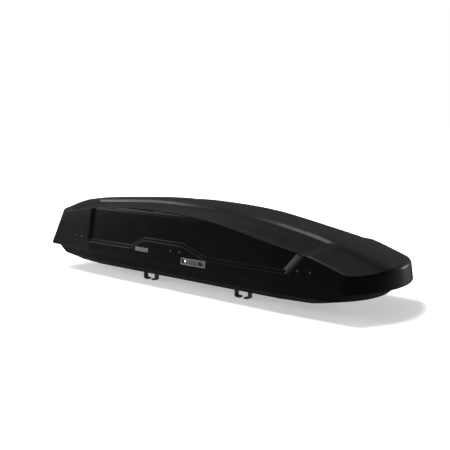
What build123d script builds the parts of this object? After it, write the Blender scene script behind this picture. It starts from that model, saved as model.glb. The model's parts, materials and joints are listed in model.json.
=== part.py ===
"""Roof box with a lid that opens from either side.

Frame: +X points at the nose, +Y to the left, +Z up, in millimetres.
The origin lies under the middle of the box, where the clamp claws stand.
"""
import os
from math import atan2, degrees, hypot, radians, tan

from build123d import *

os.makedirs("parts", exist_ok=True)

# Overall sizes of the moulded box
BOX_LENGTH = 2350
BOX_WIDTH = 700
NOSE_WIDTH = 650
TAIL_WIDTH = 636
BASE_DEPTH = 95
CLAW_REACH = 55
LID_WALL = 3
BASE_WALL = 3

# Plan of the lid's lower edge
NOSE_TAPER_START = 630
NOSE_CORNER_X = 1058
NOSE_CORNER_RADIUS = 64
TAIL_TAPER_START = -730
TAIL_CORNER_X = -1155
TAIL_CORNER_RADIUS = 48
LID_DRAFT = 6.5
TAIL_LEAN = 25.5
FORM_HEIGHT = 330

# Roof of the lid: a flat centre panel and two sloping shoulders
PANEL_HALF = 100
PANEL_BLEND = 55
SHOULDER_REACH = 460
EDGE_ROUND = 20
ROOF_STEP = 110
# Station along X, height of the centre panel, height of the side crease, above the lid's lower edge
ROOF_STATIONS = [
    (-1190, 252, 184),
    (-1020, 273, 214),
    (-740, 294, 264),
    (-370, 316, 294),
    (-70, 315, 289),
    (105, 309, 278),
    (280, 299, 257),
    (590, 257, 200),
    (830, 205, 153),
    (1060, 132, 79),
    (1250, 58, 22),
]

# Recesses pressed into the lid's sides and shoulders
SIDE_STEP = 8
SIDE_LEDGE_LOW = 57
SIDE_LEDGE_HIGH = 112
SIDE_LEDGE_GAP = 16
SIDE_REAR_X = -735
SIDE_RISE_X = -370
SIDE_RISE_END_X = -260
SIDE_FALL_X = 38
SIDE_FALL_END_X = 210
SIDE_FRONT_LOW_X = 785
SIDE_FRONT_LEAN = 1.72
SIDE_FRONT_LOW_BEVEL = 64
SIDE_FRONT_BEVEL_LEAN = 0.08
SIDE_REAR_BEVEL = 14
SIDE_TOOL_TOP = 420
SHOULDER_DEPTH = 15
SHOULDER_BAND_DEPTH = 11
SHOULDER_INNER_Y = 92
SHOULDER_SKEW = 0.25
SHOULDER_PROUD = 3
SHOULDER_FLOOR_INNER_Y = 118
SHOULDER_FLOOR_OUTER_Y = 262
SHOULDER_OUTER_Y = 300
SHOULDER_FRONT_X = 906
SHOULDER_FLOOR_FRONT_X = 830
SHOULDER_REAR_X = -930
SHOULDER_FLOOR_REAR_X = -885

# Base tray
RIM_INSET = 30
RIM_RISE = 4
FACET_DROP = 58
FACET_INSET = 48
FLOOR_INSET = 96
FACET_NOSE_SETBACK = 55
FLOOR_NOSE_SETBACK = 150
FLOOR_TAIL_SETBACK = 110
FACET_TAIL_SETBACK = 40
TRIM_THICKNESS = 3
TRIM_LEG = 10
GROOVE_WIDTH = 70
GROOVE_HEIGHT = 12
GROOVE_LENGTH = 1500
GROOVE_OFFSET = 62

# Floor rails and the slots that the clamps slide in
RAIL_OFFSET = 190
RAIL_WIDTH = 78
RAIL_THICKNESS = 2.5
RAIL_LENGTH = 1300
RAIL_LIP = 8
SLOT_LENGTH = 360
SLOT_WIDTH = 42
SLOT_CENTRE_X = 350
RAIL_RIVET_RADIUS = 5
RAIL_RIVET_HEAD = 2.5
RAIL_RIVET_PITCH = 580

# Clamps that grip the roof bars
CLAMP_LENGTH = 132
CLAMP_HEIGHT = 36
CLAMP_WALL = 6
CLAMP_CORNER = 10
CLAW_WIDTH = 30
CLAW_THICKNESS = 7
CLAW_PIVOT_X = 44
CLAW_PIVOT_RISE = 13
CLAW_EYE_RADIUS = 9
CLAW_PIN_RADIUS = 4
CLAW_ARM_X = 45.5
CLAW_TIP_X = 16
CLAW_HORN_X = 13
CLAW_BEND = 9
KNOB_RADIUS = 34
KNOB_HEIGHT = 24
KNOB_LOBES = 6
KNOB_SCALLOP = 9
KNOB_BEVEL = 2
SPINDLE_RADIUS = 5
COLLAR_RADIUS = 8
COLLAR_THICKNESS = 3

# Hinge and lock line along each side
HINGE_OFFSET = 315
HINGE_RISE = 22
PIN_RADIUS = 4
UNIT_POSITIONS = {"front": 827, "middle": -7, "rear": -841}
UNIT_WIDTH = 86
UNIT_PLATE = 5
UNIT_TOP = 93
RIVET_PITCH = 68
RIVET_RISE = 80
RIVET_RADIUS = 2.5
RIVET_HEAD_RADIUS = 5.5
RIVET_HEAD = 2
NOSE_RIVET_X = 1139
NOSE_RIVET_PITCH = 54
SADDLE_X = 6.5
SADDLE_THICKNESS = 5
BEARING_X = -35.5
STRIKER_X = 12.5
STRIKER_THICKNESS = 5
STRIKER_PIN_END_X = -9
STRIKER_FOOT = 30
EYE_X = -2.5
EYE_THICKNESS = 7
EYE_RADIUS = 9
LOCK_TRAVEL = 20
ROD_RADIUS = 5
ROD_RISE = 52
ROD_OVERHANG = 20

# Lid lifter: two crossing arms at each end of the box
LIFTER_POSITIONS = {"front": 670, "rear": -670}
LIFTER_SPACING = 40
ARM_RADIUS = 8
ARM_EYE_RADIUS = 10
ARM_EYE_WIDTH = 18
BRACKET_THICKNESS = 4
BRACKET_FOOT_DROP = 45
BRACKET_INNER = 292
BRACKET_OUTER = 325
EAR_PROUD = 5
BRACKET_PLATE = 3
FORK_RISE = 44

# Lock slider in a cup on each side, with a key barrel beside it
SLIDER_X = 130
CUP_LENGTH = 168
CUP_HEIGHT = 28
CUP_RISE = 36
CUP_DEPTH = 16
CUP_WALL = 2.5
CUP_FLANGE = 4
CUP_FLANGE_PROUD = 1.2
WINDOW_HEIGHT = 12
SLIDER_LENGTH = 84
SLIDER_HEIGHT = 18
SLIDER_THICKNESS = 10
SLIDER_REST_X = 126
SLIDER_GRIP = 4
GRIP_PITCH = 8
GRIP_COUNT = 8
GRIP_DEPTH = 1.5
STEM_LENGTH = 24
STEM_HEIGHT = 9
BARREL_OFFSET = 66
BARREL_RADIUS = 7
BARREL_PROUD = 5
KEYWAY_WIDTH = 2
KEYWAY_HEIGHT = 9
KEYWAY_DEPTH = 6
CAM_REACH = 14
CAM_THICKNESS = 3
CAM_WIDTH = 7
NOTCH_START = -11
NOTCH_END = 5
NOTCH_DEPTH = 4

# Stiffeners bonded under the lid
RIB_POSITIONS = {"front": 410, "middle": -170, "rear": -530}
RIB_WIDTH = 60
RIB_DEPTH = 10
RIB_FOOT = 150
RIB_REACH = 300
NOSE_BLOCK_LENGTH = 44
NOSE_BLOCK_WIDTH = 100
NOSE_BLOCK_LOW = 60

# Blank badges on the lid's sides
BADGE_X = -267
BADGE_RISE = 62
BADGE_LENGTH = 104
BADGE_HEIGHT = 22
BADGE_PROUD = 2
BADGE_CORNER = 4

# Straps that hold the load down
STRAP_POSITIONS = {"front": 60, "rear": -60}
STRAP_WIDTH = 25
STRAP_THICKNESS = 2
STRAP_END = 212
STRAP_BEND = 172
STRAP_LIFT_Y = 145
STRAP_LIFT = 12
STRAP_CROWN = 24
BUCKLE_LENGTH = 52
BUCKLE_WIDTH = 36
BUCKLE_HEIGHT = 11
BUCKLE_CORNER = 3

# Clearances
SEAT_GAP = 0.3
RUN_GAP = 0.1
SLIDE_GAP = 0.4

# Heights that follow from the sizes above
UNDERSIDE_Z = CLAW_REACH
EDGE_Z = UNDERSIDE_Z + BASE_DEPTH
FLOOR_Z = UNDERSIDE_Z + BASE_WALL
RIM_Z = EDGE_Z + RIM_RISE
HINGE_Z = EDGE_Z + HINGE_RISE
ROD_Z = EDGE_Z + ROD_RISE
RAIL_TOP_Z = FLOOR_Z + RAIL_THICKNESS
SIDES = {"left": 1, "right": -1}
HALF_LENGTH = BOX_LENGTH / 2
HALF_WIDTH = BOX_WIDTH / 2


def skirt_y(x, rise, inset=0):
    """Half width of the lid's side wall at a place along the box and a height above its edge."""
    nose_run = max(0, x - NOSE_TAPER_START) / (NOSE_CORNER_X - NOSE_TAPER_START)
    tail_run = max(0, TAIL_TAPER_START - x) / (TAIL_TAPER_START - TAIL_CORNER_X)
    half = HALF_WIDTH - nose_run * (BOX_WIDTH - NOSE_WIDTH) / 2 - tail_run * (BOX_WIDTH - TAIL_WIDTH) / 2
    return half - rise * tan(radians(LID_DRAFT)) - inset


def plan_outline(z, inset, nose_setback=0, tail_setback=0):
    """Outline of the box at one height, drawn inside the lid's lower edge by the inset."""
    half = HALF_WIDTH - inset
    nose_half = NOSE_WIDTH / 2 - inset
    tail_half = TAIL_WIDTH / 2 - inset
    nose = HALF_LENGTH - inset - nose_setback
    nose_corner = NOSE_CORNER_X - inset - nose_setback
    tail = -HALF_LENGTH + inset + tail_setback
    tail_corner = TAIL_CORNER_X + inset + tail_setback
    with BuildSketch(Plane.XY.offset(z)) as outline:
        with BuildLine():
            Polyline(
                (tail_corner, -tail_half),
                (TAIL_TAPER_START, -half),
                (NOSE_TAPER_START, -half),
                (nose_corner, -nose_half),
            )
            ThreePointArc((nose_corner, -nose_half), (nose, 0), (nose_corner, nose_half))
            Polyline(
                (nose_corner, nose_half),
                (NOSE_TAPER_START, half),
                (TAIL_TAPER_START, half),
                (tail_corner, tail_half),
            )
            ThreePointArc((tail_corner, tail_half), (tail, 0), (tail_corner, -tail_half))
        make_face()
        nose_points = outline.vertices().filter_by(lambda v: v.X > NOSE_TAPER_START + 50)
        fillet(nose_points, NOSE_CORNER_RADIUS - inset * 0.5)
        tail_points = outline.vertices().filter_by(lambda v: v.X < TAIL_TAPER_START - 50)
        fillet(tail_points, TAIL_CORNER_RADIUS - inset * 0.3)
    return outline.sketch


def station_height(x, column):
    """Smooth curve through one column of the roof stations."""
    stations = ROOF_STATIONS
    count = len(stations)
    slopes = []
    for i in range(count):
        before = stations[max(i - 1, 0)]
        after = stations[min(i + 1, count - 1)]
        slopes.append((after[column] - before[column]) / (after[0] - before[0]))
    i = 0
    while i < count - 2 and x > stations[i + 1][0]:
        i += 1
    span = stations[i + 1][0] - stations[i][0]
    t = (x - stations[i][0]) / span
    rise = stations[i + 1][column] - stations[i][column]
    bend = (slopes[i] * span - rise) * (1 - t) + (rise - slopes[i + 1] * span) * t
    return stations[i][column] + rise * t + bend * t * (1 - t)


def panel_height(x):
    """Height of the roof's centre panel above the lid's lower edge."""
    return station_height(x, 1)


def shoulder_slope(x):
    """Fall of the roof's shoulder per millimetre outward."""
    return (panel_height(x) - station_height(x, 2)) / (HALF_WIDTH - PANEL_HALF)


def roof_height(x, across):
    """Height of the plain roof above the lid's lower edge."""
    return panel_height(x) - shoulder_slope(x) * max(0, across - PANEL_HALF)


def roof_form(drop):
    """Solid under the lid's plain roof, lowered by the drop."""
    first, last = ROOF_STATIONS[0][0], ROOF_STATIONS[-1][0]
    steps = round((last - first) / ROOF_STEP)
    foot = EDGE_Z - 60
    with BuildPart() as roof:
        for i in range(steps + 1):
            x = first + (last - first) * i / steps
            panel = EDGE_Z + panel_height(x) - drop
            outer = EDGE_Z + roof_height(x, SHOULDER_REACH) - drop
            blend = PANEL_BLEND / tan(atan2(shoulder_slope(x), 1) / 2)
            with BuildSketch(Plane.YZ.offset(x)) as section:
                with BuildLine():
                    Polyline(
                        (-SHOULDER_REACH, foot),
                        (-SHOULDER_REACH, outer),
                        (-PANEL_HALF, panel),
                        (PANEL_HALF, panel),
                        (SHOULDER_REACH, outer),
                        (SHOULDER_REACH, foot),
                        close=True,
                    )
                make_face()
                fillet(section.vertices().filter_by(lambda v: abs(v.X) < PANEL_HALF + 1), blend)
        loft()
    return roof.part


def wall_form(inset):
    """Solid inside the lid's side walls."""
    shrink = FORM_HEIGHT * tan(radians(LID_DRAFT))
    lean = FORM_HEIGHT * tan(radians(TAIL_LEAN))
    with BuildPart() as walls:
        add(plan_outline(EDGE_Z, inset))
        add(plan_outline(EDGE_Z + FORM_HEIGHT, inset + shrink, 0, lean - shrink))
        loft(ruled=True)
    return walls.part


def recess_section(x, side, drop, depth, band_depth):
    """Cross-section of a shoulder with its recess, on a plane turned with the recess's front end."""
    plane = Plane(
        origin=(x + SHOULDER_SKEW * SHOULDER_FLOOR_INNER_Y, 0, 0),
        x_dir=(-SHOULDER_SKEW, side, 0),
        z_dir=(side, SHOULDER_SKEW, 0),
    )
    stretch = hypot(1, SHOULDER_SKEW)
    foot = EDGE_Z + SIDE_LEDGE_LOW

    def spot(across, below):
        along = x - SHOULDER_SKEW * (across - SHOULDER_FLOOR_INNER_Y)
        return (across * stretch, EDGE_Z + roof_height(along, across) - drop - below)

    with BuildSketch(plane) as section:
        with BuildLine():
            Polyline(
                (0, foot),
                spot(0, -SHOULDER_PROUD),
                spot(SHOULDER_INNER_Y, -SHOULDER_PROUD),
                spot(SHOULDER_FLOOR_INNER_Y, depth),
                spot(SHOULDER_FLOOR_OUTER_Y, depth),
                spot(SHOULDER_OUTER_Y, band_depth),
                spot(SHOULDER_REACH, band_depth),
                (SHOULDER_REACH * stretch, foot),
                close=True,
            )
        make_face()
    return section.sketch


def shoulder_cut(side, drop, spread):
    """What is pressed out of one shoulder of the roof."""
    front, floor_front = SHOULDER_FRONT_X + spread, SHOULDER_FLOOR_FRONT_X + spread
    rear, floor_rear = SHOULDER_REAR_X - spread, SHOULDER_FLOOR_REAR_X - spread
    steps = round((floor_front - floor_rear) / ROOF_STEP)
    with BuildPart() as kept:
        for i in range(steps + 1):
            x = floor_rear + (floor_front - floor_rear) * i / steps
            add(recess_section(x, side, drop, SHOULDER_DEPTH, SHOULDER_BAND_DEPTH))
        loft()
    with BuildPart() as front_ramp:
        add(recess_section(floor_front, side, drop, SHOULDER_DEPTH, SHOULDER_BAND_DEPTH))
        add(recess_section(front, side, drop, -SHOULDER_PROUD, -SHOULDER_PROUD))
        loft(ruled=True)
    with BuildPart() as rear_ramp:
        add(recess_section(rear, side, drop, -SHOULDER_PROUD, -SHOULDER_PROUD))
        add(recess_section(floor_rear, side, drop, SHOULDER_DEPTH, SHOULDER_BAND_DEPTH))
        loft(ruled=True)
    with BuildPart() as cut:
        for x in (rear, front):
            plane = Plane(
                origin=(x + SHOULDER_SKEW * SHOULDER_FLOOR_INNER_Y, 0, 0),
                x_dir=(-SHOULDER_SKEW, side, 0),
                z_dir=(side, SHOULDER_SKEW, 0),
            )
            with BuildSketch(plane):
                with BuildLine():
                    Polyline(
                        (20, EDGE_Z + SIDE_LEDGE_LOW + 1),
                        (SHOULDER_REACH - 5, EDGE_Z + SIDE_LEDGE_LOW + 1),
                        (SHOULDER_REACH - 5, EDGE_Z + FORM_HEIGHT),
                        (20, EDGE_Z + FORM_HEIGHT),
                        close=True,
                    )
                make_face()
        loft(ruled=True)
        add(kept.part, mode=Mode.SUBTRACT)
        add(front_ramp.part, mode=Mode.SUBTRACT)
        add(rear_ramp.part, mode=Mode.SUBTRACT)
    return cut.part


def side_cut(side, inset, depth, ledge_drop, spread):
    """What is pressed out of one side wall down to the depth, with its ledge lowered by the drop."""
    low = EDGE_Z + SIDE_LEDGE_LOW + SIDE_LEDGE_GAP - ledge_drop - spread
    high = EDGE_Z + SIDE_LEDGE_HIGH + SIDE_LEDGE_GAP - ledge_drop - spread
    top = EDGE_Z + SIDE_TOOL_TOP
    full_depth = 2 * SIDE_STEP

    def outline(depth_here):
        share = depth_here / full_depth
        rear = SIDE_REAR_X - spread - SIDE_REAR_BEVEL * (1 - share)

        def front(z):
            rise = z - EDGE_Z - SIDE_LEDGE_LOW
            out = SIDE_FRONT_LOW_X + spread + SIDE_FRONT_LEAN * rise
            return out - share * (SIDE_FRONT_LOW_BEVEL + SIDE_FRONT_BEVEL_LEAN * max(rise, 0))

        return [
            (rear, low),
            (SIDE_RISE_X + spread, low),
            (SIDE_RISE_END_X + spread, high),
            (SIDE_FALL_X - spread, high),
            (SIDE_FALL_END_X - spread, low),
            (front(low), low),
            (front(top), top),
            (rear, top),
        ]

    with BuildPart() as cut:
        for depth_here in (-full_depth, 3 * full_depth):
            y = side * (HALF_WIDTH - depth_here)
            plane = Plane(origin=(0, y, 0), x_dir=(1, 0, 0), z_dir=(0, -1, 0))
            with BuildSketch(plane):
                with BuildLine():
                    Polyline(*outline(depth_here), close=True)
                make_face()
        loft(ruled=True)
        add(wall_form(inset + depth), mode=Mode.SUBTRACT)
    return cut.part


def top_rim(part):
    """Edges where the roof meets the walls."""
    rim = []
    for face in part.faces():
        if abs(face.normal_at(face.center()).Z) < 0.6:
            for edge in face.edges():
                if min((edge @ 0).Z, (edge @ 1).Z) > EDGE_Z + 30:
                    rim.append(edge)
    return rim


def lid_form(inset):
    """Solid lid, drawn inside its outer surface by the inset."""
    with BuildPart() as form:
        add(wall_form(inset))
        add(roof_form(inset), mode=Mode.INTERSECT)
        fillet(top_rim(form.part), EDGE_ROUND - inset)
        for side in SIDES.values():
            add(shoulder_cut(side, inset, inset), mode=Mode.SUBTRACT)
            add(side_cut(side, inset, SIDE_STEP, SIDE_LEDGE_GAP, inset), mode=Mode.SUBTRACT)
            add(side_cut(side, inset, 2 * SIDE_STEP, 0, inset), mode=Mode.SUBTRACT)
    return form.part


def frustum(lower, upper):
    """Solid between two outlines."""
    with BuildPart() as form:
        add(lower)
        add(upper)
        loft(ruled=True)
    return form.part


def tray_form(inset, top, foot_lift):
    """Solid base tray, drawn inside its outer surface by the inset."""
    facet_z = EDGE_Z - FACET_DROP
    lean = (FACET_INSET - RIM_INSET) / (FACET_DROP + RIM_RISE)
    rim = plan_outline(top, RIM_INSET + inset - lean * (top - RIM_Z))
    facet = plan_outline(facet_z, FACET_INSET + inset, FACET_NOSE_SETBACK, FACET_TAIL_SETBACK)
    floor = plan_outline(
        UNDERSIDE_Z + foot_lift, FLOOR_INSET + inset, FLOOR_NOSE_SETBACK, FLOOR_TAIL_SETBACK
    )
    with BuildPart() as form:
        add(frustum(facet, rim))
        add(frustum(floor, facet))
    return form.part


def bar(x, across, z, side, mode=Mode.ADD):
    """Box between pairs of limits, on one side of the part."""
    size = (x[1] - x[0], across[1] - across[0], z[1] - z[0])
    with Locations(((x[0] + x[1]) / 2, side * (across[0] + across[1]) / 2, (z[0] + z[1]) / 2)):
        Box(*size, mode=mode)


def shaft_x(x, across, z, radius, side, mode=Mode.ADD):
    """Round bar along the part."""
    with Locations(Location(((x[0] + x[1]) / 2, side * across, z), (0, 90, 0))):
        Cylinder(radius, x[1] - x[0], mode=mode)


def shaft_y(x, across, z, radius, side, mode=Mode.ADD):
    """Round bar across the part."""
    with Locations(Location((x, side * (across[0] + across[1]) / 2, z), (90, 0, 0))):
        Cylinder(radius, across[1] - across[0], mode=mode)


def shaft_z(x, y, z, radius, mode=Mode.ADD):
    """Upright round bar."""
    with Locations((x, y, (z[0] + z[1]) / 2)):
        Cylinder(radius, z[1] - z[0], mode=mode)


def save(builder, name):
    """Label one finished piece and write it."""
    builder.part.label = name
    export_step(builder.part, f"parts/{name}.step")
    print(name, len(builder.part.solids()), round(builder.part.volume / 1000, 2), "cm3")


# Forms that several pieces are fitted to
LID_OUTER = lid_form(0)
LID_INNER = lid_form(LID_WALL)
ROOF_SEAT = lid_form(LID_WALL + SEAT_GAP)
ROOF_RIB = lid_form(LID_WALL + SEAT_GAP + RIB_DEPTH)
WALL_SEAT = wall_form(LID_WALL + SEAT_GAP)
WALL_PLATE = wall_form(LID_WALL + SEAT_GAP + UNIT_PLATE)
TRAY_OUTER = tray_form(0, RIM_Z, 0)
TRAY_INNER = tray_form(BASE_WALL, RIM_Z + 2 * TRIM_THICKNESS, BASE_WALL)
TRAY_SEAT = tray_form(BASE_WALL + SEAT_GAP, RIM_Z + TRIM_THICKNESS + SEAT_GAP, BASE_WALL)
TRAY_PLATE = tray_form(BASE_WALL + SEAT_GAP + BRACKET_PLATE, RIM_Z + 2 * TRIM_THICKNESS, BASE_WALL)
TRIM_TOP_Z = RIM_Z + TRIM_THICKNESS + SEAT_GAP
UNIT_FOOT_Z = ROD_Z + 2 * ROD_RADIUS
UNIT_TOP_Z = EDGE_Z + UNIT_TOP
CUP_Z = EDGE_Z + CUP_RISE
CUP_FACE = skirt_y(SLIDER_X, CUP_RISE)
CUP_BACK = CUP_FACE - CUP_DEPTH
BARREL_X = SLIDER_X - BARREL_OFFSET
STRAP_Z = RAIL_TOP_Z + STRAP_THICKNESS / 2
RAIL_RIVET_POSITIONS = [-RAIL_RIVET_PITCH, 0, RAIL_RIVET_PITCH] + list(STRAP_POSITIONS.values())


# Base tray with two stiffening grooves and the slots for the claws
with BuildPart() as base_shell:
    add(TRAY_OUTER)
    add(TRAY_INNER, mode=Mode.SUBTRACT)
    for side in SIDES.values():
        groove = (GROOVE_OFFSET - GROOVE_WIDTH / 2, GROOVE_OFFSET + GROOVE_WIDTH / 2)
        inside = (groove[0] + BASE_WALL, groove[1] - BASE_WALL)
        half = GROOVE_LENGTH / 2
        bar((-half, half), groove, (UNDERSIDE_Z, FLOOR_Z + GROOVE_HEIGHT), side)
        bar(
            (BASE_WALL - half, half - BASE_WALL),
            inside,
            (UNDERSIDE_Z, UNDERSIDE_Z + GROOVE_HEIGHT),
            side,
            Mode.SUBTRACT,
        )
        with BuildSketch(Plane.XY.offset(UNDERSIDE_Z)):
            for x in (-SLOT_CENTRE_X, SLOT_CENTRE_X):
                with Locations((x, side * RAIL_OFFSET)):
                    SlotOverall(SLOT_LENGTH, SLOT_WIDTH)
        extrude(amount=BASE_WALL, mode=Mode.SUBTRACT)
        for x in RAIL_RIVET_POSITIONS:
            depth = (UNDERSIDE_Z, FLOOR_Z)
            shaft_z(x, side * RAIL_OFFSET, depth, RAIL_RIVET_RADIUS + RUN_GAP, Mode.SUBTRACT)
save(base_shell, "base_shell")

# Rubber trim over the tray's rim
with BuildPart() as base_rim_trim:
    add(tray_form(-TRIM_THICKNESS, RIM_Z + TRIM_THICKNESS, 0))
    with Locations((0, 0, RIM_Z - TRIM_LEG)):
        Box(
            2 * BOX_LENGTH,
            2 * BOX_WIDTH,
            BASE_DEPTH,
            align=(Align.CENTER, Align.CENTER, Align.MIN),
            mode=Mode.INTERSECT,
        )
    add(TRAY_OUTER, mode=Mode.SUBTRACT)
    add(TRAY_INNER, mode=Mode.SUBTRACT)
save(base_rim_trim, "base_rim_trim")

# Steel rails on the floor, riveted through it
for name, side in SIDES.items():
    with BuildPart() as rail:
        with BuildSketch(Plane.XY.offset(FLOOR_Z)):
            with Locations((0, side * RAIL_OFFSET)):
                Rectangle(RAIL_LENGTH, RAIL_WIDTH)
            for x in (-SLOT_CENTRE_X, SLOT_CENTRE_X):
                with Locations((x, side * RAIL_OFFSET)):
                    SlotOverall(SLOT_LENGTH, SLOT_WIDTH, mode=Mode.SUBTRACT)
        extrude(amount=RAIL_THICKNESS)
        for edge in (-1, 1):
            outer = RAIL_OFFSET + edge * RAIL_WIDTH / 2
            inner = outer - edge * RAIL_THICKNESS
            bar(
                (-RAIL_LENGTH / 2, RAIL_LENGTH / 2),
                (min(inner, outer), max(inner, outer)),
                (FLOOR_Z, FLOOR_Z + RAIL_LIP),
                side,
            )
        for x in RAIL_RIVET_POSITIONS:
            depth = (FLOOR_Z, RAIL_TOP_Z)
            shaft_z(x, side * RAIL_OFFSET, depth, RAIL_RIVET_RADIUS + RUN_GAP, Mode.SUBTRACT)
    save(rail, f"rail_{name}")

with BuildPart() as rail_rivets:
    for side in SIDES.values():
        for x in RAIL_RIVET_POSITIONS:
            seat = RAIL_TOP_Z
            if x in STRAP_POSITIONS.values():
                seat += STRAP_THICKNESS
            shaft_z(x, side * RAIL_OFFSET, (UNDERSIDE_Z, seat), RAIL_RIVET_RADIUS)
            shaft_z(x, side * RAIL_OFFSET, (seat, seat + RAIL_RIVET_HEAD), 2 * RAIL_RIVET_RADIUS)
save(rail_rivets, "rail_rivets")

# Straps over the load, riveted to both rails, with a buckle in the middle of each
for place, x in STRAP_POSITIONS.items():
    with BuildPart() as load_strap:
        with BuildSketch(Plane.YZ.offset(x - STRAP_WIDTH / 2)):
            with BuildLine():
                Polyline(
                    (-STRAP_END, STRAP_Z),
                    (-STRAP_BEND, STRAP_Z),
                    (-STRAP_LIFT_Y, STRAP_Z + STRAP_LIFT),
                )
                ThreePointArc(
                    (-STRAP_LIFT_Y, STRAP_Z + STRAP_LIFT),
                    (0, STRAP_Z + STRAP_CROWN),
                    (STRAP_LIFT_Y, STRAP_Z + STRAP_LIFT),
                )
                Polyline(
                    (STRAP_LIFT_Y, STRAP_Z + STRAP_LIFT),
                    (STRAP_BEND, STRAP_Z),
                    (STRAP_END, STRAP_Z),
                )
            trace(line_width=STRAP_THICKNESS)
        extrude(amount=STRAP_WIDTH)
        for y in (-RAIL_OFFSET, RAIL_OFFSET):
            spread = (RAIL_TOP_Z, RAIL_TOP_Z + STRAP_THICKNESS)
            shaft_z(x, y, spread, RAIL_RIVET_RADIUS + RUN_GAP, Mode.SUBTRACT)
    save(load_strap, f"load_strap_{place}")
    with BuildPart() as strap_buckle:
        with Locations((x, 0, STRAP_Z + STRAP_CROWN)):
            Box(BUCKLE_WIDTH, BUCKLE_LENGTH, BUCKLE_HEIGHT)
        fillet(strap_buckle.edges(), BUCKLE_CORNER)
        with Locations((x, 0, STRAP_Z + STRAP_CROWN + BUCKLE_HEIGHT / 2)):
            Box(STRAP_WIDTH, BUCKLE_LENGTH / 3, BUCKLE_HEIGHT / 3, mode=Mode.SUBTRACT)
        add(load_strap.part, mode=Mode.SUBTRACT)
    save(strap_buckle, f"strap_buckle_{place}")


def base_bracket(x, ear_centres, ear_width, foot_half, side):
    """Steel bracket on the tray's inner wall, with ears that rise over the rim to the hinge line."""
    foot_z = (EDGE_Z - BRACKET_FOOT_DROP, EDGE_Z - RIM_RISE)
    spans = []
    for centre in ear_centres:
        spans.append((x + centre - ear_width / 2, x + centre + ear_width / 2))
    with BuildPart() as foot:
        bar((x - foot_half, x + foot_half), (BRACKET_INNER - 30, BRACKET_OUTER), foot_z, side)
        add(TRAY_SEAT, mode=Mode.INTERSECT)
        add(TRAY_PLATE, mode=Mode.SUBTRACT)
    with BuildPart() as ears:
        for span in spans:
            bar(span, (BRACKET_INNER - 6, BRACKET_OUTER), (foot_z[0], TRIM_TOP_Z), side)
        add(TRAY_SEAT, mode=Mode.INTERSECT)
    with BuildPart() as bracket:
        add(foot.part)
        add(ears.part)
        for span in spans:
            bar(span, (BRACKET_INNER, HINGE_OFFSET), (TRIM_TOP_Z, HINGE_Z + ARM_EYE_RADIUS), side)
            bar(span, (HINGE_OFFSET, HINGE_OFFSET + EAR_PROUD), (TRIM_TOP_Z, HINGE_Z), side)
            shaft_x(span, HINGE_OFFSET, HINGE_Z, ARM_EYE_RADIUS, side)
    return bracket.part


def lid_ears(x, ear_centres, ear_width, centre_z, low, high, side):
    """Ears that reach in from the lid's side wall to a line along the side."""
    inner, outer = HINGE_OFFSET - ARM_EYE_RADIUS, HINGE_OFFSET + ARM_EYE_RADIUS
    with BuildPart() as ears:
        for centre in ear_centres:
            span = (x + centre - ear_width / 2, x + centre + ear_width / 2)
            shaft_x(span, HINGE_OFFSET, centre_z, ARM_EYE_RADIUS, side)
            bar(span, (inner, outer), (centre_z, high), side)
            bar(span, (HINGE_OFFSET, HALF_WIDTH), (low, high), side)
        add(WALL_SEAT, mode=Mode.INTERSECT)
    return ears.part


def wall_plate(x, half, low, high, side):
    """Plate that lies on the inside of the lid's side wall."""
    with BuildPart() as plate:
        bar((x - half, x + half), (BRACKET_INNER, HALF_WIDTH), (low, high), side)
        add(WALL_SEAT, mode=Mode.INTERSECT)
        add(WALL_PLATE, mode=Mode.SUBTRACT)
    return plate.part


# Strikers on the base: one ear each, with a pin that stands out towards the tail
for name, side in SIDES.items():
    with BuildPart() as striker_brackets:
        for x in UNIT_POSITIONS.values():
            add(base_bracket(x, [STRIKER_X], STRIKER_THICKNESS, STRIKER_FOOT, side))
            bore = (x + STRIKER_X - STRIKER_THICKNESS, x + STRIKER_X + STRIKER_THICKNESS)
            shaft_x(bore, HINGE_OFFSET, HINGE_Z, PIN_RADIUS + RUN_GAP / 2, side, Mode.SUBTRACT)
    save(striker_brackets, f"striker_brackets_{name}")
    with BuildPart() as striker_pins:
        for x in UNIT_POSITIONS.values():
            ends = (x + STRIKER_PIN_END_X, x + STRIKER_X + STRIKER_THICKNESS / 2)
            shaft_x(ends, HINGE_OFFSET, HINGE_Z, PIN_RADIUS, side)
        chamfer(striker_pins.edges().filter_by(GeomType.CIRCLE), RUN_GAP * 5)
    save(striker_pins, f"striker_pins_{name}")

# Hinge and lock units on the lid: a saddle on each pin and a bearing for the lock rod
for place, x in UNIT_POSITIONS.items():
    for name, side in SIDES.items():
        notch_half = PIN_RADIUS + 2 * RUN_GAP
        notch = (HINGE_OFFSET - notch_half, HINGE_OFFSET + notch_half)
        whole = (x - UNIT_WIDTH / 2, x + UNIT_WIDTH / 2)
        with BuildPart() as hinge_unit:
            add(wall_plate(x, UNIT_WIDTH / 2, UNIT_FOOT_Z, UNIT_TOP_Z, side))
            add(lid_ears(x, [SADDLE_X], SADDLE_THICKNESS, HINGE_Z, UNIT_FOOT_Z, UNIT_TOP_Z, side))
            add(lid_ears(x, [BEARING_X], SADDLE_THICKNESS, ROD_Z, UNIT_FOOT_Z, UNIT_TOP_Z, side))
            shaft_x(whole, HINGE_OFFSET, ROD_Z, ROD_RADIUS + RUN_GAP, side, Mode.SUBTRACT)
            shaft_x(whole, HINGE_OFFSET, HINGE_Z, notch_half, side, Mode.SUBTRACT)
            bar(whole, notch, (EDGE_Z, HINGE_Z), side, Mode.SUBTRACT)
            for offset in (-RIVET_PITCH / 2, RIVET_PITCH / 2):
                shaft_y(
                    x + offset,
                    (HINGE_OFFSET, HALF_WIDTH),
                    EDGE_Z + RIVET_RISE,
                    RIVET_RADIUS + RUN_GAP,
                    side,
                    Mode.SUBTRACT,
                )
        save(hinge_unit, f"hinge_unit_{place}_{name}")

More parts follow.
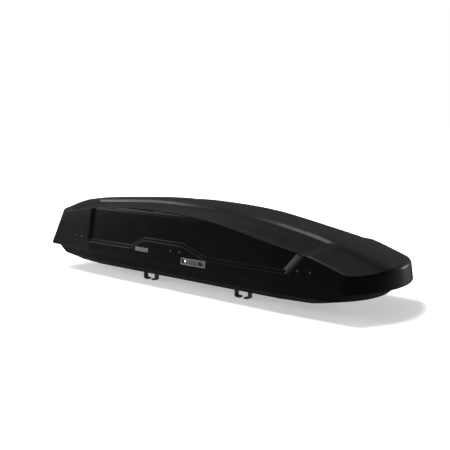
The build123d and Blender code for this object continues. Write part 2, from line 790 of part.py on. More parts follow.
# Lock rods, notched for the key cam, and the eyes that slide onto the striker pins
for name, side in SIDES.items():
    rear = UNIT_POSITIONS["rear"] + BEARING_X - ROD_OVERHANG - LOCK_TRAVEL
    front = UNIT_POSITIONS["front"] + SADDLE_X + SADDLE_THICKNESS
    with BuildPart() as lock_rod:
        shaft_x((rear, front), HINGE_OFFSET, ROD_Z, ROD_RADIUS, side)
        chamfer(lock_rod.edges().filter_by(GeomType.CIRCLE), 1)
        for shift in (0, LOCK_TRAVEL):
            bar(
                (BARREL_X + NOTCH_START - shift, BARREL_X + NOTCH_END - shift),
                (HINGE_OFFSET - ROD_RADIUS, HINGE_OFFSET + ROD_RADIUS),
                (ROD_Z - ROD_RADIUS, ROD_Z - ROD_RADIUS + NOTCH_DEPTH),
                side,
                Mode.SUBTRACT,
            )
    save(lock_rod, f"lock_rod_{name}")
    with BuildPart() as lock_eyes:
        for x in UNIT_POSITIONS.values():
            centre = x + EYE_X - LOCK_TRAVEL
            span = (centre - EYE_THICKNESS / 2, centre + EYE_THICKNESS / 2)
            shaft_x(span, HINGE_OFFSET, HINGE_Z, EYE_RADIUS, side)
            shaft_x(span, HINGE_OFFSET, ROD_Z, EYE_RADIUS, side)
            bar(span, (HINGE_OFFSET - ROD_RADIUS, HINGE_OFFSET + ROD_RADIUS), (HINGE_Z, ROD_Z), side)
            shaft_x(span, HINGE_OFFSET, HINGE_Z, PIN_RADIUS + SEAT_GAP, side, Mode.SUBTRACT)
            shaft_x(span, HINGE_OFFSET, ROD_Z, ROD_RADIUS + RUN_GAP / 2, side, Mode.SUBTRACT)
    save(lock_eyes, f"lock_eyes_{name}")

# Lifter arms that cross from hinge line to hinge line, and their brackets on the base and the lid
ARM_SHIFT = {"a": 0, "b": LIFTER_SPACING}
for place, x in LIFTER_POSITIONS.items():
    for letter, shift in ARM_SHIFT.items():
        centre = x + shift
        eye = (centre - ARM_EYE_WIDTH / 2, centre + ARM_EYE_WIDTH / 2)
        with BuildPart() as lifter_arm:
            with Locations(Location((centre, 0, HINGE_Z), (90, 0, 0))):
                Cylinder(ARM_RADIUS, 2 * (HINGE_OFFSET - ARM_EYE_RADIUS / 2))
            for side in SIDES.values():
                shaft_x(eye, HINGE_OFFSET, HINGE_Z, ARM_EYE_RADIUS, side)
                shaft_x(eye, HINGE_OFFSET, HINGE_Z, PIN_RADIUS + RUN_GAP, side, Mode.SUBTRACT)
        save(lifter_arm, f"lifter_arm_{place}_{letter}")

FORK_EAR = ARM_EYE_WIDTH / 2 + SEAT_GAP + BRACKET_THICKNESS / 2
FORK_HALF = FORK_EAR + BRACKET_THICKNESS / 2
with BuildPart() as lifter_brackets_base:
    for x in LIFTER_POSITIONS.values():
        for letter, side in (("a", 1), ("b", -1)):
            centre = x + ARM_SHIFT[letter]
            add(base_bracket(centre, [-FORK_EAR, FORK_EAR], BRACKET_THICKNESS, FORK_HALF, side))
            shaft_x((centre - FORK_HALF, centre + FORK_HALF), HINGE_OFFSET, HINGE_Z, PIN_RADIUS, side)
save(lifter_brackets_base, "lifter_brackets_base")

with BuildPart() as lifter_brackets_lid:
    for x in LIFTER_POSITIONS.values():
        for letter, side in (("a", -1), ("b", 1)):
            centre = x + ARM_SHIFT[letter]
            ears = [-FORK_EAR, FORK_EAR]
            add(lid_ears(centre, ears, BRACKET_THICKNESS, HINGE_Z, HINGE_Z, EDGE_Z + FORK_RISE, side))
            add(wall_plate(centre, FORK_HALF, HINGE_Z, EDGE_Z + FORK_RISE, side))
            shaft_x((centre - FORK_HALF, centre + FORK_HALF), HINGE_OFFSET, HINGE_Z, PIN_RADIUS, side)
save(lifter_brackets_lid, "lifter_brackets_lid")


def side_rivets(radius, depth, mode=Mode.ADD):
    """Round shanks through the lid's side walls at every hinge unit."""
    for x in UNIT_POSITIONS.values():
        for offset in (-RIVET_PITCH / 2, RIVET_PITCH / 2):
            face = skirt_y(x + offset, RIVET_RISE)
            for side in SIDES.values():
                ends = (face - depth, face + RIVET_HEAD / 2)
                shaft_y(x + offset, ends, EDGE_Z + RIVET_RISE, radius, side, mode)


def nose_rivets(radius, depth, height, mode=Mode.ADD):
    """Round shanks square to the roof at the nose."""
    fall = panel_height(NOSE_RIVET_X - 1) - panel_height(NOSE_RIVET_X + 1)
    tilt = degrees(atan2(fall, 2))
    z = EDGE_Z + panel_height(NOSE_RIVET_X)
    for y in (-NOSE_RIVET_PITCH / 2, NOSE_RIVET_PITCH / 2):
        with Locations(Location((NOSE_RIVET_X, y, z), (0, tilt, 0))):
            with Locations((0, 0, (height - depth) / 2)):
                Cylinder(radius, height + depth, mode=mode)


# Lid shell with rivet holes and a window for the lock cup in each side
with BuildPart() as lid_shell:
    add(LID_OUTER)
    add(LID_INNER, mode=Mode.SUBTRACT)
    side_rivets(RIVET_RADIUS + RUN_GAP, 2 * LID_WALL, Mode.SUBTRACT)
    nose_rivets(RIVET_RADIUS + RUN_GAP, 2 * LID_WALL, LID_WALL, Mode.SUBTRACT)
    for side in SIDES.values():
        bar(
            (SLIDER_X - CUP_LENGTH / 2 - SEAT_GAP, SLIDER_X + CUP_LENGTH / 2 + SEAT_GAP),
            (CUP_BACK, HALF_WIDTH),
            (CUP_Z - CUP_HEIGHT / 2 - SEAT_GAP, CUP_Z + CUP_HEIGHT / 2 + SEAT_GAP),
            side,
            Mode.SUBTRACT,
        )
save(lid_shell, "lid_shell")

# Rivets with round heads on the outside
with BuildPart() as lid_rivets:
    for x in UNIT_POSITIONS.values():
        for offset in (-RIVET_PITCH / 2, RIVET_PITCH / 2):
            face = skirt_y(x + offset, RIVET_RISE)
            for side in SIDES.values():
                ends = (face - RIVET_HEAD, face + RIVET_HEAD)
                shaft_y(x + offset, ends, EDGE_Z + RIVET_RISE, RIVET_HEAD_RADIUS, side)
    nose_rivets(RIVET_HEAD_RADIUS, RIVET_HEAD, RIVET_HEAD)
    add(LID_OUTER, mode=Mode.SUBTRACT)
    side_rivets(RIVET_RADIUS, LID_WALL + 2 * SEAT_GAP + UNIT_PLATE)
    nose_rivets(RIVET_RADIUS, LID_WALL + SEAT_GAP + RIB_DEPTH, RIVET_HEAD)
save(lid_rivets, "lid_rivets")

# Stiffeners bonded under the roof, and the block that the nose rivets hold
for place, x in RIB_POSITIONS.items():
    with BuildPart() as lid_rib:
        with Locations((x, 0, EDGE_Z + RIB_FOOT)):
            Box(
                RIB_WIDTH,
                2 * RIB_REACH,
                FORM_HEIGHT,
                align=(Align.CENTER, Align.CENTER, Align.MIN),
            )
        add(ROOF_SEAT, mode=Mode.INTERSECT)
        add(ROOF_RIB, mode=Mode.SUBTRACT)
    save(lid_rib, f"lid_rib_{place}")

with BuildPart() as lid_nose_block:
    with Locations((NOSE_RIVET_X, 0, EDGE_Z)):
        Box(
            NOSE_BLOCK_LENGTH,
            NOSE_BLOCK_WIDTH,
            FORM_HEIGHT,
            align=(Align.CENTER, Align.CENTER, Align.MIN),
        )
    add(ROOF_SEAT, mode=Mode.INTERSECT)
    add(ROOF_RIB, mode=Mode.SUBTRACT)
    with Locations((NOSE_RIVET_X, 0, EDGE_Z)):
        Box(
            NOSE_BLOCK_LENGTH,
            NOSE_BLOCK_WIDTH,
            NOSE_BLOCK_LOW,
            align=(Align.CENTER, Align.CENTER, Align.MIN),
            mode=Mode.SUBTRACT,
        )
    nose_rivets(RIVET_RADIUS + RUN_GAP, 2 * RIB_DEPTH, 0, Mode.SUBTRACT)
save(lid_nose_block, "lid_nose_block")

# Lock cups in the sides, with the slider, the key barrel and a blank badge
flange_form = wall_form(-SEAT_GAP - CUP_FLANGE_PROUD)
seat_form = wall_form(-SEAT_GAP)
badge_form = wall_form(-SEAT_GAP - BADGE_PROUD)
for name, side in SIDES.items():
    cup_half = CUP_LENGTH / 2
    cup_x = (SLIDER_X - cup_half, SLIDER_X + cup_half)
    cup_z = (CUP_Z - CUP_HEIGHT / 2, CUP_Z + CUP_HEIGHT / 2)
    floor_y = CUP_BACK + CUP_WALL
    barrel_ends = (HINGE_OFFSET - CAM_THICKNESS / 2, floor_y + BARREL_PROUD)
    with BuildPart() as flange:
        bar(
            (cup_x[0] - CUP_FLANGE, cup_x[1] + CUP_FLANGE),
            (CUP_BACK, HALF_WIDTH + CUP_FLANGE),
            (cup_z[0] - CUP_FLANGE, cup_z[1] + CUP_FLANGE),
            side,
        )
        add(flange_form, mode=Mode.INTERSECT)
        add(seat_form, mode=Mode.SUBTRACT)
    with BuildPart() as lock_cup:
        bar(cup_x, (CUP_BACK, HALF_WIDTH + CUP_FLANGE), cup_z, side)
        add(flange_form, mode=Mode.INTERSECT)
        add(flange.part)
        bar(
            (cup_x[0] + CUP_WALL, cup_x[1] - CUP_WALL),
            (floor_y, HALF_WIDTH + CUP_FLANGE),
            (cup_z[0] + CUP_WALL, cup_z[1] - CUP_WALL),
            side,
            Mode.SUBTRACT,
        )
        bar(
            (SLIDER_REST_X - STEM_LENGTH / 2 - 1, SLIDER_REST_X + LOCK_TRAVEL + STEM_LENGTH / 2 + 1),
            (CUP_BACK, floor_y),
            (CUP_Z - WINDOW_HEIGHT / 2, CUP_Z + WINDOW_HEIGHT / 2),
            side,
            Mode.SUBTRACT,
        )
        shaft_y(BARREL_X, barrel_ends, CUP_Z, BARREL_RADIUS + RUN_GAP, side, Mode.SUBTRACT)
    save(lock_cup, f"lock_cup_{name}")
    with BuildPart() as lock_slider:
        block_y = (floor_y + SLIDE_GAP, floor_y + SLIDE_GAP + SLIDER_THICKNESS)
        block_x = (SLIDER_REST_X - SLIDER_LENGTH / 2, SLIDER_REST_X + SLIDER_LENGTH / 2)
        bar(block_x, block_y, (CUP_Z - SLIDER_HEIGHT / 2, CUP_Z + SLIDER_HEIGHT / 2), side)
        fillet(lock_slider.edges().filter_by(Axis.Y), SLIDER_GRIP)
        with BuildSketch(Plane.XZ.offset(-side * block_y[1])):
            with Locations((SLIDER_REST_X, CUP_Z)):
                with GridLocations(GRIP_PITCH, 1, GRIP_COUNT, 1):
                    Rectangle(GRIP_PITCH / 2, SLIDER_HEIGHT)
        extrude(amount=side * GRIP_DEPTH, mode=Mode.SUBTRACT)
        stem_x = (SLIDER_REST_X - STEM_LENGTH / 2, SLIDER_REST_X + STEM_LENGTH / 2)
        stem_z = (CUP_Z - STEM_HEIGHT / 2, CUP_Z + STEM_HEIGHT / 2)
        post_y = (HINGE_OFFSET - ROD_RADIUS, HINGE_OFFSET + ROD_RADIUS)
        bar(stem_x, (post_y[0], block_y[0]), stem_z, side)
        bar(stem_x, post_y, (stem_z[0], ROD_Z), side)
        shaft_x(stem_x, HINGE_OFFSET, ROD_Z, EYE_RADIUS, side)
        shaft_x(stem_x, HINGE_OFFSET, ROD_Z, ROD_RADIUS + RUN_GAP / 2, side, Mode.SUBTRACT)
    save(lock_slider, f"lock_slider_{name}")
    with BuildPart() as lock_barrel:
        shaft_y(BARREL_X, barrel_ends, CUP_Z, BARREL_RADIUS, side)
        chamfer(lock_barrel.edges().filter_by(GeomType.CIRCLE), CAM_THICKNESS / 6)
        bar(
            (BARREL_X - KEYWAY_WIDTH / 2, BARREL_X + KEYWAY_WIDTH / 2),
            (barrel_ends[1] - KEYWAY_DEPTH, barrel_ends[1]),
            (CUP_Z - KEYWAY_HEIGHT / 2, CUP_Z + KEYWAY_HEIGHT / 2),
            side,
            Mode.SUBTRACT,
        )
        bar(
            (BARREL_X - CAM_REACH, BARREL_X),
            (HINGE_OFFSET - CAM_THICKNESS / 2, HINGE_OFFSET + CAM_THICKNESS / 2),
            (CUP_Z - CAM_WIDTH / 2, CUP_Z + CAM_WIDTH / 2),
            side,
        )
    save(lock_barrel, f"lock_barrel_{name}")
    with BuildPart() as badge:
        bar(
            (BADGE_X - BADGE_LENGTH / 2, BADGE_X + BADGE_LENGTH / 2),
            (CUP_BACK, HALF_WIDTH + CUP_FLANGE),
            (EDGE_Z + BADGE_RISE - BADGE_HEIGHT / 2, EDGE_Z + BADGE_RISE + BADGE_HEIGHT / 2),
            side,
        )
        fillet(badge.edges().filter_by(Axis.Y), BADGE_CORNER)
        add(badge_form, mode=Mode.INTERSECT)
        add(seat_form, mode=Mode.SUBTRACT)
    save(badge, f"badge_{name}")

# One clamp, drawn over the origin with its foot on the rail
CLAMP_WIDTH = RAIL_WIDTH - 2 * RAIL_THICKNESS - 2 * SLIDE_GAP
CLAMP_FOOT_Z = RAIL_TOP_Z + RUN_GAP
CLAMP_TOP_Z = CLAMP_FOOT_Z + CLAMP_HEIGHT
PIVOT_Z = CLAMP_FOOT_Z + CLAW_PIVOT_RISE
CAVITY_TOP_Z = CLAMP_TOP_Z - CLAMP_WALL
with BuildPart() as clamp_housing:
    with Locations((0, 0, (CLAMP_FOOT_Z + CLAMP_TOP_Z) / 2)):
        Box(CLAMP_LENGTH, CLAMP_WIDTH, CLAMP_HEIGHT)
    fillet(clamp_housing.edges().filter_by(Axis.Z), CLAMP_CORNER)
    fillet(clamp_housing.faces().sort_by(Axis.Z)[-1].edges(), CLAMP_WALL / 2)
    with Locations((0, 0, (CLAMP_FOOT_Z + CAVITY_TOP_Z) / 2)):
        Box(
            CLAMP_LENGTH - 2 * CLAMP_WALL,
            CLAMP_WIDTH - 2 * CLAMP_WALL,
            CAVITY_TOP_Z - CLAMP_FOOT_Z,
            mode=Mode.SUBTRACT,
        )
    shaft_z(0, 0, (CAVITY_TOP_Z, CLAMP_TOP_Z), SPINDLE_RADIUS + RUN_GAP, Mode.SUBTRACT)
    for x in (-CLAW_PIVOT_X, CLAW_PIVOT_X):
        with Locations(Location((x, 0, PIVOT_Z), (90, 0, 0))):
            Cylinder(CLAW_PIN_RADIUS, CLAMP_WIDTH - CLAMP_WALL)

with BuildPart() as clamp_knob:
    with BuildSketch(Plane.XY.offset(CLAMP_TOP_Z + SLIDE_GAP)):
        Circle(KNOB_RADIUS)
        with PolarLocations(KNOB_RADIUS + KNOB_SCALLOP / 2, KNOB_LOBES):
            Circle(KNOB_SCALLOP, mode=Mode.SUBTRACT)
    extrude(amount=KNOB_HEIGHT)
    chamfer(clamp_knob.faces().sort_by(Axis.Z)[-1].edges(), KNOB_BEVEL)
    shaft_z(0, 0, (PIVOT_Z + CLAW_THICKNESS, CLAMP_TOP_Z + KNOB_HEIGHT / 2), SPINDLE_RADIUS)
    shaft_z(0, 0, (CAVITY_TOP_Z - SLIDE_GAP - COLLAR_THICKNESS, CAVITY_TOP_Z - SLIDE_GAP), COLLAR_RADIUS)

with BuildPart() as clamp_claw:
    with BuildSketch(Plane.XZ.offset(-CLAW_WIDTH / 2)):
        with BuildLine():
            Polyline(
                (CLAW_ARM_X, PIVOT_Z),
                (CLAW_ARM_X, CLAW_BEND),
                (CLAW_ARM_X - CLAW_BEND, CLAW_THICKNESS / 2),
                (CLAW_TIP_X, CLAW_THICKNESS / 2),
            )
        trace(line_width=CLAW_THICKNESS)
        with Locations((CLAW_PIVOT_X, PIVOT_Z)):
            Circle(CLAW_EYE_RADIUS)
        with Locations(((CLAW_PIVOT_X + CLAW_HORN_X) / 2, PIVOT_Z)):
            Rectangle(CLAW_PIVOT_X - CLAW_HORN_X, CLAW_THICKNESS)
        with Locations((CLAW_PIVOT_X, PIVOT_Z)):
            Circle(CLAW_PIN_RADIUS + RUN_GAP, mode=Mode.SUBTRACT)
    extrude(amount=CLAW_WIDTH)

# The same clamp at the four places
for place, x in {"front": SLOT_CENTRE_X, "rear": -SLOT_CENTRE_X}.items():
    for name, side in SIDES.items():
        spot = Location((x, side * RAIL_OFFSET, 0))
        pieces = {
            "housing": clamp_housing.part,
            "knob": clamp_knob.part,
            "claw_fore": clamp_claw.part,
            "claw_aft": clamp_claw.part.mirror(Plane.YZ),
        }
        for piece, shape in pieces.items():
            with BuildPart() as placed:
                add(shape.moved(spot))
            save(placed, f"clamp_{place}_{name}_{piece}")
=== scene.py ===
"""Roof box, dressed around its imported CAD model."""
import json
import math

import bmesh
import bpy
from mathutils import Matrix, Vector, geometry


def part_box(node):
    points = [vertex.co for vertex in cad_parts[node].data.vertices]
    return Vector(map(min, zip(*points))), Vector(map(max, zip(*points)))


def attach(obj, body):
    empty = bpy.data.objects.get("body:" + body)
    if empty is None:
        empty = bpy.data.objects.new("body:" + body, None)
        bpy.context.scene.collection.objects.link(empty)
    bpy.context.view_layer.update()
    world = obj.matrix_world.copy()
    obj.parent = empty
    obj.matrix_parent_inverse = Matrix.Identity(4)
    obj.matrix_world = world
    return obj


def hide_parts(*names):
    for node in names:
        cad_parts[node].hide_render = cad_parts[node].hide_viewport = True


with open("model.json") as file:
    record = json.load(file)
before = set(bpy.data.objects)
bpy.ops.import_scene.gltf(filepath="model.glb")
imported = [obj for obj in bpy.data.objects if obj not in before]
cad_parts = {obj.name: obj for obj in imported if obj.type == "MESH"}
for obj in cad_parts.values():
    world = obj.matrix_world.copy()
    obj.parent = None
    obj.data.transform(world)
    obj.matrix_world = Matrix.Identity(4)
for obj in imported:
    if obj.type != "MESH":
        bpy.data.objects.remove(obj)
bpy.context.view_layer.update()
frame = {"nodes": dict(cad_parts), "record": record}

bl_info = {
    "name": "Roof Box",
    "version": (1, 0, 0),
    "blender": (4, 5, 0),
    "location": "3D View > Sidebar > Roof Box",
    "description": "Finishes and soft pieces of a roof box that opens from either side",
    "category": "Object",
}

NODES = frame["nodes"]
SLOT_OF = {part["node"]: part["material_slot"] for part in frame["record"]["subparts"]}
BODY_OF = {node: body for body, group in frame["record"]["behaviour"]["bodies"].items() for node in group}

# Heights and places taken over from the CAD model, in metres
STRAP_POSITIONS = {"front": 0.060, "rear": -0.060}
STRAP_Z = 0.0615
STRAP_WIDTH = 0.025
STRAP_THICKNESS = 0.002
STRAP_BEND = 0.172
STRAP_LIFT_Y = 0.145
STRAP_LIFT = 0.012
STRAP_CROWN = 0.024
CLAW_THICKNESS = 0.007
LID_DRAFT = math.radians(6.5)
NOSE_FACING = (0.363, 0.0, 0.932)

# Straps: the loose end that waves over the strap, its hem, the sewn boxes and the buckle, in metres
STRAP_STEPS = 120
LOOSE_STEPS = 40
LOOSE_START = 0.012
LOOSE_LENGTH = 0.098
LOOSE_LIFT = 0.0023
LOOSE_WAVE = 0.0045
HEM_STEPS = 7
HEM_LIFT = 0.0019
HEM_THICKNESS = 0.0017
SEWN_OUTER = 0.2005
SEWN_INNER = 0.1795
SEWN_END = 0.174
SEWN_MARGIN = 0.003
SEWN_LIFT = 0.0011
SEWN_HEM_MARGIN = 0.002
SEWN_HEM_LIFT = 0.0053
STITCH_PITCH = 0.0032
STITCH_THREAD = 0.0007
STITCH_HALF = 0.0085
BUCKLE_CHEEK = 0.004
BUCKLE_TILT = math.radians(-3.5)
BUCKLE_RIDGES = 5

# CAD node, body, slot, head radius, head height and shank radius of each kind of rivet, in metres
RIVETS = (
    ("lid_rivets", "lid", "rivet_black", 0.0055, 0.002, 0.0025),
    ("rail_rivets", "base", "pin_steel", 0.0095, 0.0025, 0.005),
)
RIVET_TAIL = 0.0012
RIVET_REACH = 0.02
NOSE_HALF = 0.1

# Small details, in metres
SEAL_LIP = 0.0007
SEAL_STEP = 0.008
PAD_THICKNESS = 0.003
PAD_START = 0.002
PAD_END = 0.0262
PAD_RIDGES = 6
PAD_EDGE = 0.002
WEAVE_RIB = 0.0021
WEAVE_YARN = 0.0013
GRAIN_DEPTH = 0.00006

# How far along the box the nose's rivets start, past which their colour carries painted shade, and where
# the lid's haze sets in and is full
NOSE_SHADE_FROM = 1.0
HAZE_FACING = (0.55, 0.85)

# Floor: half its side, how far out it fades and to what glow, and its tone for hidden and seen light
FLOOR_HALF = 40.0
FLOOR_FADE = (1.5, 7.0)
FLOOR_GLOW = (0.42, 0.86)
FLOOR_UNSEEN = (0.25, 0.25, 0.25)
FLOOR_SEEN = (0.8, 0.8, 0.8)

# Soft light all round, and the backdrop's brightness by the height of the direction
WORLD_LIGHT = 0.2
SKY = ((0.3, 1.0), (0.42, 0.5), (0.58, 0.16), (0.74, 1.0), (0.93, 7.0))

# Name, place, aim, side and power of each lamp
LAMPS = (
    ("top", (-0.5, -0.9, 4.6), (0.4, -0.2, 0.3), 1.6, 340.0),
    ("key", (-4.2, -0.4, 3.8), (0.0, 0.0, 0.3), 1.8, 240.0),
    ("side", (-5.0, -3.1, 1.6), (0.0, -0.3, 0.3), 1.8, 200.0),
    ("back", (2.4, 5.6, 1.2), (0.9, 0.0, 0.3), 1.4, 170.0),
)

# Camera, fitted to the photo
CAMERA_SENSOR = 36.0
CAMERA_LENS = 58.41
CAMERA_PLACE = (2.723, -3.166, 0.965)
CAMERA_PAN = math.radians(130.034)
CAMERA_TILT = math.radians(8.53)

# Material of each slot
FINISH_NAMES = {
    "lid_plastic": "grained lid plastic",
    "base_plastic": "tray plastic",
    "trim_rubber": "rim rubber",
    "stiffener": "stiffener plastic",
    "plated_steel": "zinc plated steel",
    "pin_steel": "turned steel",
    "arm_aluminium": "drawn aluminium",
    "rivet_black": "painted rivet",
    "grip_plastic": "grip plastic",
    "lock_metal": "lock barrel metal",
    "badge_plastic": "badge plastic",
    "webbing": "webbing",
    "claw_coat": "claw coating",
}


class RoofBoxSettings(bpy.types.PropertyGroup):
    """Sizes and colours that a user would change."""

    lid_colour: bpy.props.FloatVectorProperty(
        name="Lid colour", description="Moulded lid", subtype="COLOR", size=3,
        min=0, max=1, default=(0.0018, 0.0020, 0.0021))
    tray_colour: bpy.props.FloatVectorProperty(
        name="Tray colour", description="Moulded base tray", subtype="COLOR", size=3,
        min=0, max=1, default=(0.0026, 0.0026, 0.0028))
    grip_colour: bpy.props.FloatVectorProperty(
        name="Grip colour", description="Knobs, cups and sliders", subtype="COLOR", size=3,
        min=0, max=1, default=(0.045, 0.046, 0.05))
    steel_colour: bpy.props.FloatVectorProperty(
        name="Steel colour", description="Zinc plated fittings", subtype="COLOR", size=3,
        min=0, max=1, default=(0.52, 0.53, 0.53))
    webbing_colour: bpy.props.FloatVectorProperty(
        name="Webbing colour", description="Load straps", subtype="COLOR", size=3,
        min=0, max=1, default=(0.02, 0.021, 0.024))
    grain: bpy.props.FloatProperty(
        name="Grain", description="Size of the moulded plastic's grain", subtype="DISTANCE",
        min=0.0002, max=0.01, default=0.0012)
    seal_width: bpy.props.FloatProperty(
        name="Seal width", description="Width of the rubber seal over the tray's rim", subtype="DISTANCE",
        min=0.003, max=0.01, default=0.006)


def node(tree, kind, inputs=(), out=0, **settings):
    """Add a node with its settings, its inputs as values or links, and return one output."""
    made = tree.nodes.new(kind)
    for key, value in settings.items():
        setattr(made, key, value)
    for socket, value in inputs:
        if isinstance(value, bpy.types.NodeSocket):
            tree.links.new(value, made.inputs[socket])
        else:
            made.inputs[socket].default_value = value
    return made.outputs[out]


def maths(tree, operation, first, second=0.0):
    """One sum on two numbers."""
    return node(tree, "ShaderNodeMath", [(0, first), (1, second)], operation=operation)


def remapped(tree, source, start, end, low, high):
    """Value between a start and an end, turned into one between a low and a high."""
    return node(tree, "ShaderNodeMapRange", [
        ("Value", source), ("From Min", start), ("From Max", end), ("To Min", low), ("To Max", high)],
        out="Result")


def mixed(tree, share, first, second):
    """Colour between two, by a share."""
    return node(
        tree, "ShaderNodeMix", [("Factor", share), ("A", first), ("B", second)],
        out="Result", data_type="RGBA")


def tree_of(material):
    """Empty node tree of a material, with its output and shader."""
    material.use_nodes = True
    tree = material.node_tree
    tree.nodes.clear()
    out = tree.nodes.new("ShaderNodeOutputMaterial")
    shader = tree.nodes.new("ShaderNodeBsdfPrincipled")
    tree.links.new(shader.outputs["BSDF"], out.inputs["Surface"])
    return tree, shader


def noise(tree, scale, detail=3.0, stretch=None):
    """Noise on the piece's own coordinates."""
    source = node(tree, "ShaderNodeTexCoord", out="Object")
    if stretch:
        source = node(tree, "ShaderNodeMapping", [("Vector", source), ("Scale", stretch)], out="Vector")
    return node(
        tree, "ShaderNodeTexNoise", [("Vector", source), ("Scale", scale), ("Detail", detail)], out="Fac")


def spread(tree, source, low, high):
    """Noise stretched between two values."""
    return remapped(tree, source, 0.3, 0.7, low, high)


def tint(tree, source, dark, light):
    """Noise turned into a colour between two tones."""
    ramp = tree.nodes.new("ShaderNodeValToRGB")
    for stop, place, colour in zip(ramp.color_ramp.elements, (0.35, 0.65), (dark, light)):
        stop.position = place
        stop.color = (*colour, 1)
    tree.links.new(source, ramp.inputs["Fac"])
    return ramp.outputs["Color"]


def relief(tree, shader, heights, rounding=0.0):
    """Bumps laid over each other, on edges that are rounded a little."""
    normal = None
    if rounding:
        normal = node(tree, "ShaderNodeBevel", [("Radius", rounding)], out="Normal", samples=6)
    for source, distance, strength in heights:
        inputs = [("Height", source), ("Distance", distance), ("Strength", strength)]
        if normal:
            inputs.append(("Normal", normal))
        normal = node(tree, "ShaderNodeBump", inputs, out="Normal")
    tree.links.new(normal, shader.inputs["Normal"])


def seen_directly(tree):
    """One for what the camera, a reflection or glass shows, and zero for light that only falls."""
    total = node(tree, "ShaderNodeLightPath", out="Is Camera Ray")
    paths = total.node.outputs
    for label in ("Is Glossy Ray", "Is Transmission Ray"):
        total = maths(tree, "MAXIMUM", total, paths[label])
    return total


def moulded_plastic(name, colour, roughness, grain, rounding, shine=0.5, haze=0.0):
    """Grained plastic with slightly uneven gloss and colour, and a haze that dulls it at a low angle."""
    material = bpy.data.materials.new(name)
    tree, shader = tree_of(material)
    shader.inputs["Specular IOR Level"].default_value = shine
    dark = [c * 0.86 for c in colour]
    light = [c * 1.14 for c in colour]
    tree.links.new(tint(tree, noise(tree, 9), dark, light), shader.inputs["Base Color"])
    gloss = spread(tree, noise(tree, 26, 4), roughness - 0.04, roughness + 0.04)
    if haze:
        facing = node(tree, "ShaderNodeLayerWeight", out="Facing")
        gloss = maths(tree, "ADD", gloss, remapped(tree, facing, *HAZE_FACING, 0.0, haze))
    tree.links.new(gloss, shader.inputs["Roughness"])
    relief(tree, shader, [(noise(tree, 1 / grain, 2), GRAIN_DEPTH, 0.6)], rounding)
    return material


def plated_steel(name, colour, roughness, rounding, stretch=(1, 1, 1)):
    """Bright metal with a fine brushed grain and faint clouding."""
    material = bpy.data.materials.new(name)
    tree, shader = tree_of(material)
    shader.inputs["Metallic"].default_value = 1.0
    dark = [c * 0.8 for c in colour]
    tree.links.new(tint(tree, noise(tree, 40), dark, colour), shader.inputs["Base Color"])
    brushed = noise(tree, 500, 2, stretch)
    tree.links.new(spread(tree, brushed, roughness - 0.07, roughness + 0.09), shader.inputs["Roughness"])
    relief(tree, shader, [(brushed, 0.00003, 0.4)], rounding)
    return material


def rubber(name, colour, roughness):
    """Matt rubber with a soft bloom."""
    material = bpy.data.materials.new(name)
    tree, shader = tree_of(material)
    light = [c * 1.5 for c in colour]
    tree.links.new(tint(tree, noise(tree, 60), colour, light), shader.inputs["Base Color"])
    gloss = spread(tree, noise(tree, 120), roughness - 0.05, roughness + 0.05)
    tree.links.new(gloss, shader.inputs["Roughness"])
    relief(tree, shader, [(noise(tree, 1500, 1), 0.00005, 0.5)])
    return material


def rivet_paint_with_nose_shade(name, colour, nose_shade_colour, grain):
    """Painted metal, with painted shade that makes the rivets in the nose darker than the rest."""
    material = moulded_plastic(name, colour, 0.35, grain, 0.0006, shine=0.08)
    tree = material.node_tree
    shader = next(item for item in tree.nodes if item.type == "BSDF_PRINCIPLED")
    side_colour = shader.inputs["Base Color"].links[0].from_socket
    place = node(tree, "ShaderNodeTexCoord", out="Object")
    along = node(tree, "ShaderNodeSeparateXYZ", [("Vector", place)], out="X")
    # Rivets that sit in the nose take a darker colour here: painted shade, for they are the same paint as
    # the rivets on the sides.
    ahead = maths(tree, "GREATER_THAN", along, NOSE_SHADE_FROM)
    tree.links.new(mixed(tree, ahead, side_colour, (*nose_shade_colour, 1)), shader.inputs["Base Color"])
    return material


def ribs(tree, source, pitch):
    """Wave that rises and falls once for every pitch along a coordinate."""
    return maths(tree, "SINE", maths(tree, "MULTIPLY", source, 2 * math.pi / pitch))


def woven(name, colour):
    """Webbing with ribs across it and finer yarns along it, on its unrolled length and width."""
    material = bpy.data.materials.new(name)
    tree, shader = tree_of(material)
    light = [c * 1.6 for c in colour]
    tree.links.new(tint(tree, noise(tree, 300), colour, light), shader.inputs["Base Color"])
    shader.inputs["Roughness"].default_value = 0.8
    shader.inputs["Sheen Weight"].default_value = 0.3
    place = node(tree, "ShaderNodeTexCoord", out="UV")
    along = node(tree, "ShaderNodeSeparateXYZ", [("Vector", place)], out="X")
    across = along.node.outputs["Y"]
    relief(tree, shader, [
        (ribs(tree, along, WEAVE_RIB), 0.0002, 0.8),
        (ribs(tree, across, WEAVE_YARN), 0.0001, 0.6),
        (noise(tree, 2500, 1), 0.00004, 0.5),
    ])
    return material


